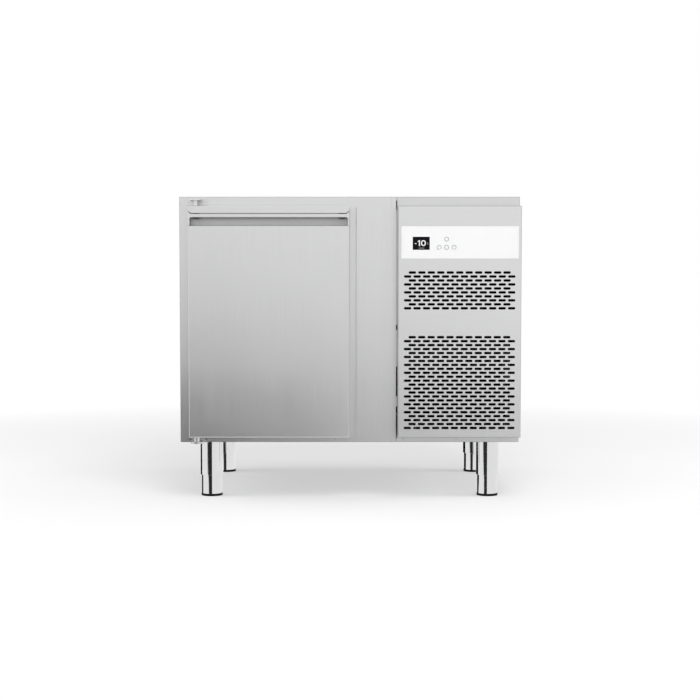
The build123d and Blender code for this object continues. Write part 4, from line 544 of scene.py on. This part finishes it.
def pale_floor():
    """Lay the floor: near the object it keeps shadows, and further off it turns plain white."""
    mesh = bpy.data.meshes.new("floor")
    half = FLOOR_REACH / 2
    corners = [(-half, -half, 0), (half, -half, 0), (half, half, 0), (-half, half, 0)]
    mesh.from_pydata(corners, [], [(0, 1, 2, 3)])
    floor = add_object("floor", mesh)
    material, nodes, links = node_tree("floor")
    output = nodes.new("ShaderNodeOutputMaterial")
    place = nodes.new("ShaderNodeNewGeometry")
    distance = nodes.new("ShaderNodeVectorMath")
    distance.operation = "LENGTH"
    links.new(place.outputs["Position"], distance.inputs[0])
    reach = (SHADED_RADIUS, WHITE_RADIUS)
    shade = remap(nodes, links, distance.outputs["Value"], FLOOR_COLOUR, 0.0, source=reach)
    shine = remap(nodes, links, distance.outputs["Value"], FLOOR_GLOW, 1.0, source=reach)
    diffuse = nodes.new("ShaderNodeBsdfDiffuse")
    links.new(shade, diffuse.inputs["Color"])
    glow = nodes.new("ShaderNodeEmission")
    shown = math_node(nodes, links, "MULTIPLY", light_paths(nodes, links), shine)
    links.new(shown, glow.inputs["Strength"])
    both = nodes.new("ShaderNodeAddShader")
    links.new(diffuse.outputs[0], both.inputs[0])
    links.new(glow.outputs[0], both.inputs[1])
    links.new(both.outputs[0], output.inputs["Surface"])
    mesh.materials.append(material)
    floor.visible_glossy = False


def dark_cards():
    """Stand the dark cards that give bright tube its black lines and the doors their soft shading."""
    for name, start, end, (low, high), level in CARDS:
        mesh = bpy.data.meshes.new(name)
        corners = [(*start, low), (*end, low), (*end, high), (*start, high)]
        mesh.from_pydata(corners, [], [(0, 1, 2, 3)])
        card = add_object(name, mesh)
        material, nodes, links = node_tree(name)
        cloth = nodes.new("ShaderNodeEmission")
        cloth.inputs["Strength"].default_value = level
        output = nodes.new("ShaderNodeOutputMaterial")
        links.new(cloth.outputs[0], output.inputs["Surface"])
        mesh.materials.append(material)
        for kind in CARD_HIDDEN_FROM:
            setattr(card, "visible_" + kind, False)


def lamps():
    """Light the set softly, most of it from the right; metal shows the white set, not the lamps."""
    for name, place, power in LAMPS:
        data = bpy.data.lights.new(name, "AREA")
        data.shape = "SQUARE"
        data.size = LAMP_SIDE
        data.energy = power
        lamp = add_object(name, data)
        lamp.location = place
        lamp.rotation_euler = (Vector(LAMP_AIM) - Vector(place)).to_track_quat("-Z", "Y").to_euler()
        lamp.visible_glossy = False


def add_piece(name, shape, material, body):
    """Turn a bmesh into a piece that rides on a body. Return it."""
    mesh = bpy.data.meshes.new(name)
    bmesh.ops.recalc_face_normals(shape, faces=shape.faces)
    shape.to_mesh(mesh)
    shape.free()
    mesh.materials.append(material)
    piece = add_object(name, mesh)
    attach(piece, body)
    return piece


def join_rings(shape, first, second):
    """Add the faces between two closed rings of vertices to a bmesh."""
    for index in range(len(first)):
        after = (index + 1) % len(first)
        shape.faces.new((first[index], first[after], second[after], second[index]))


def add_plate(shape, middle, outline, front, hole=None):
    """Add a film to a bmesh, its outline set about a middle in X and Z; hole is an inner outline."""
    levels = []
    for depth in (front, front - FILM):
        rings = []
        for line in (outline, hole):
            if line:
                places = [((middle[0] + x) * MM, depth * MM, (middle[1] + z) * MM) for x, z in line]
                rings.append([shape.verts.new(place) for place in places])
        levels.append(rings)
        if hole:
            join_rings(shape, *rings)
        else:
            shape.faces.new(rings[0])
    for below, above in zip(*levels):
        join_rings(shape, below, above)


def oval(centre, half, power=2.0, start=0.0, sweep=360.0):
    """Return points round an oval; a power above 2 squares it up."""
    points = []
    for step in range(OVAL_STEPS):
        angle = math.radians(start + sweep * step / OVAL_STEPS)
        across, up = math.cos(angle), math.sin(angle)
        points.append((
            centre[0] + half[0] * math.copysign(abs(across) ** (2.0 / power), across),
            centre[1] + half[1] * math.copysign(abs(up) ** (2.0 / power), up),
        ))
    return points


def middle_of(box):
    """Return the middle of a box, in X and Z millimetres."""
    low, high = box
    return (low[0] + high[0]) / 2 / MM, (low[2] + high[2]) / 2 / MM


def display_figures(material):
    """Light the display's figures: a minus sign, a one and a nought."""
    x, z = middle_of(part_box("display_window"))
    middle = (x, z + FIGURE_RISE)
    shape = bmesh.new()
    add_plate(shape, middle, MINUS, DISPLAY_FRONT)
    add_plate(shape, middle, ONE, DISPLAY_FRONT)
    add_plate(shape, middle, oval(*NOUGHT), DISPLAY_FRONT, hole=oval(*NOUGHT_HOLE))
    add_piece("display_figures", shape, material, "cabinet")


def display_marks(material):
    """Light the dim marks beside and under the figures: a small unit mark and a short bar."""
    middle = middle_of(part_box("display_window"))
    shape = bmesh.new()
    add_plate(shape, middle, UNIT_MARK, DISPLAY_FRONT)
    add_plate(shape, middle, oval(*BAR_MARK), DISPLAY_FRONT)
    add_piece("display_marks", shape, material, "cabinet")


def key_marks(material):
    """Print a ring on each key; those of the side keys are open below."""
    for key, (start, sweep) in KEYS.items():
        middle = middle_of(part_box(key))
        hole, rim = (oval((0.0, 0.0), (radius, radius), start=start, sweep=sweep) for radius in KEY_RING)
        shape = bmesh.new()
        if sweep < 360.0:
            add_plate(shape, middle, rim + hole[::-1], KEY_FRONT)
        else:
            add_plate(shape, middle, rim, KEY_FRONT, hole=hole)
        add_piece(key + "_mark", shape, material, key)


def door_gasket(material):
    """Sweep the gasket's section round the door, mitred inside and rounded outside."""
    low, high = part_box("door_gasket")
    back = low[1]
    inset = GASKET_CORNER * MM
    centres = (
        (low[0] + inset, low[2] + inset, (-1, -1)),
        (high[0] - inset, low[2] + inset, (1, -1)),
        (high[0] - inset, high[2] - inset, (1, 1)),
        (low[0] + inset, high[2] - inset, (-1, 1)),
    )
    shape = bmesh.new()
    rows = []
    for quarter, (x, z, mitred) in enumerate(centres):
        for step in range(CORNER_STEPS + 1):
            angle = math.radians(180.0 + 90.0 * quarter + 90.0 * step / CORNER_STEPS)
            rounded = (math.cos(angle), math.sin(angle))
            row = []
            for across, out in GASKET_SECTION:
                spare = GASKET_CORNER - across
                way = rounded if spare > 0 else mitred
                place = (x + spare * MM * way[0], back + out * MM, z + spare * MM * way[1])
                row.append(shape.verts.new(place))
            rows.append(row)
    for index, row in enumerate(rows):
        join_rings(shape, row, rows[(index + 1) % len(rows)])
    bmesh.ops.remove_doubles(shape, verts=shape.verts, dist=WELD * MM)
    piece = add_piece("door_gasket_bellows", shape, material, "door")
    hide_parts("door_gasket")


def folded_fin(shape, x, front, back, bottom, top):
    """Add one thin fin, folded into a shallow zigzag from front to back, to a bmesh."""
    outline = []
    for side in (-0.5, 0.5):
        for step in range(FIN_FOLDS + 1):
            along = step if side < 0 else FIN_FOLDS - step
            wave = FIN_WAVE if along % 2 else -FIN_WAVE
            y = front + (back - front) * along / FIN_FOLDS
            outline.append((x + (wave + side * FIN_SHEET) * MM, y))
    lower = [shape.verts.new((across, deep, bottom)) for across, deep in outline]
    upper = [shape.verts.new((across, deep, top)) for across, deep in outline]
    shape.faces.new(lower)
    shape.faces.new(upper)
    join_rings(shape, lower, upper)


def condenser_fins(material):
    """Fill the gaps between the condenser's fins with thinner ones, at a real coil's pitch."""
    low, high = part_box("condenser_coil")
    front = low[1] + FIN_MARGIN * MM
    back = high[1] - FIN_MARGIN * MM
    bottom = low[2] + COIL_RISE * MM
    top = high[2] - FIN_MARGIN * MM
    shape = bmesh.new()
    for gap in range(COIL_GAPS):
        for fin in range(1, FINS_PER_GAP + 1):
            x = low[0] + (gap + fin / (FINS_PER_GAP + 1)) * COIL_PITCH * MM
            folded_fin(shape, x, front, back, bottom, top)
    add_piece("condenser_fins", shape, material, "cabinet")


def camera():
    """Stand the camera where the photograph was taken from."""
    data = bpy.data.cameras.new("camera")
    data.sensor_width = SENSOR
    data.lens = FOCAL_PIXELS * SENSOR / IMAGE_PIXELS
    eye = add_object("camera", data)
    eye.location = CAMERA_PLACE
    eye.rotation_euler = (math.radians(90.0 - CAMERA_TILT), 0.0, 0.0)
    bpy.context.scene.camera = eye


made = {name: make(name, **options) for name, (make, options) in SLOTS.items()}
dress_nodes(made)
display_figures(lit("lit_figures", FIGURE_GLOW))
display_marks(lit("dim_marks", MARK_GLOW))
key_marks(ink("key_ink", INK_COLOUR))
door_gasket(made["gasket_rubber"])
condenser_fins(made["condenser_paint"])
white_world()
pale_floor()
dark_cards()
lamps()
camera()
bpy.context.scene.view_settings.view_transform = "Standard"
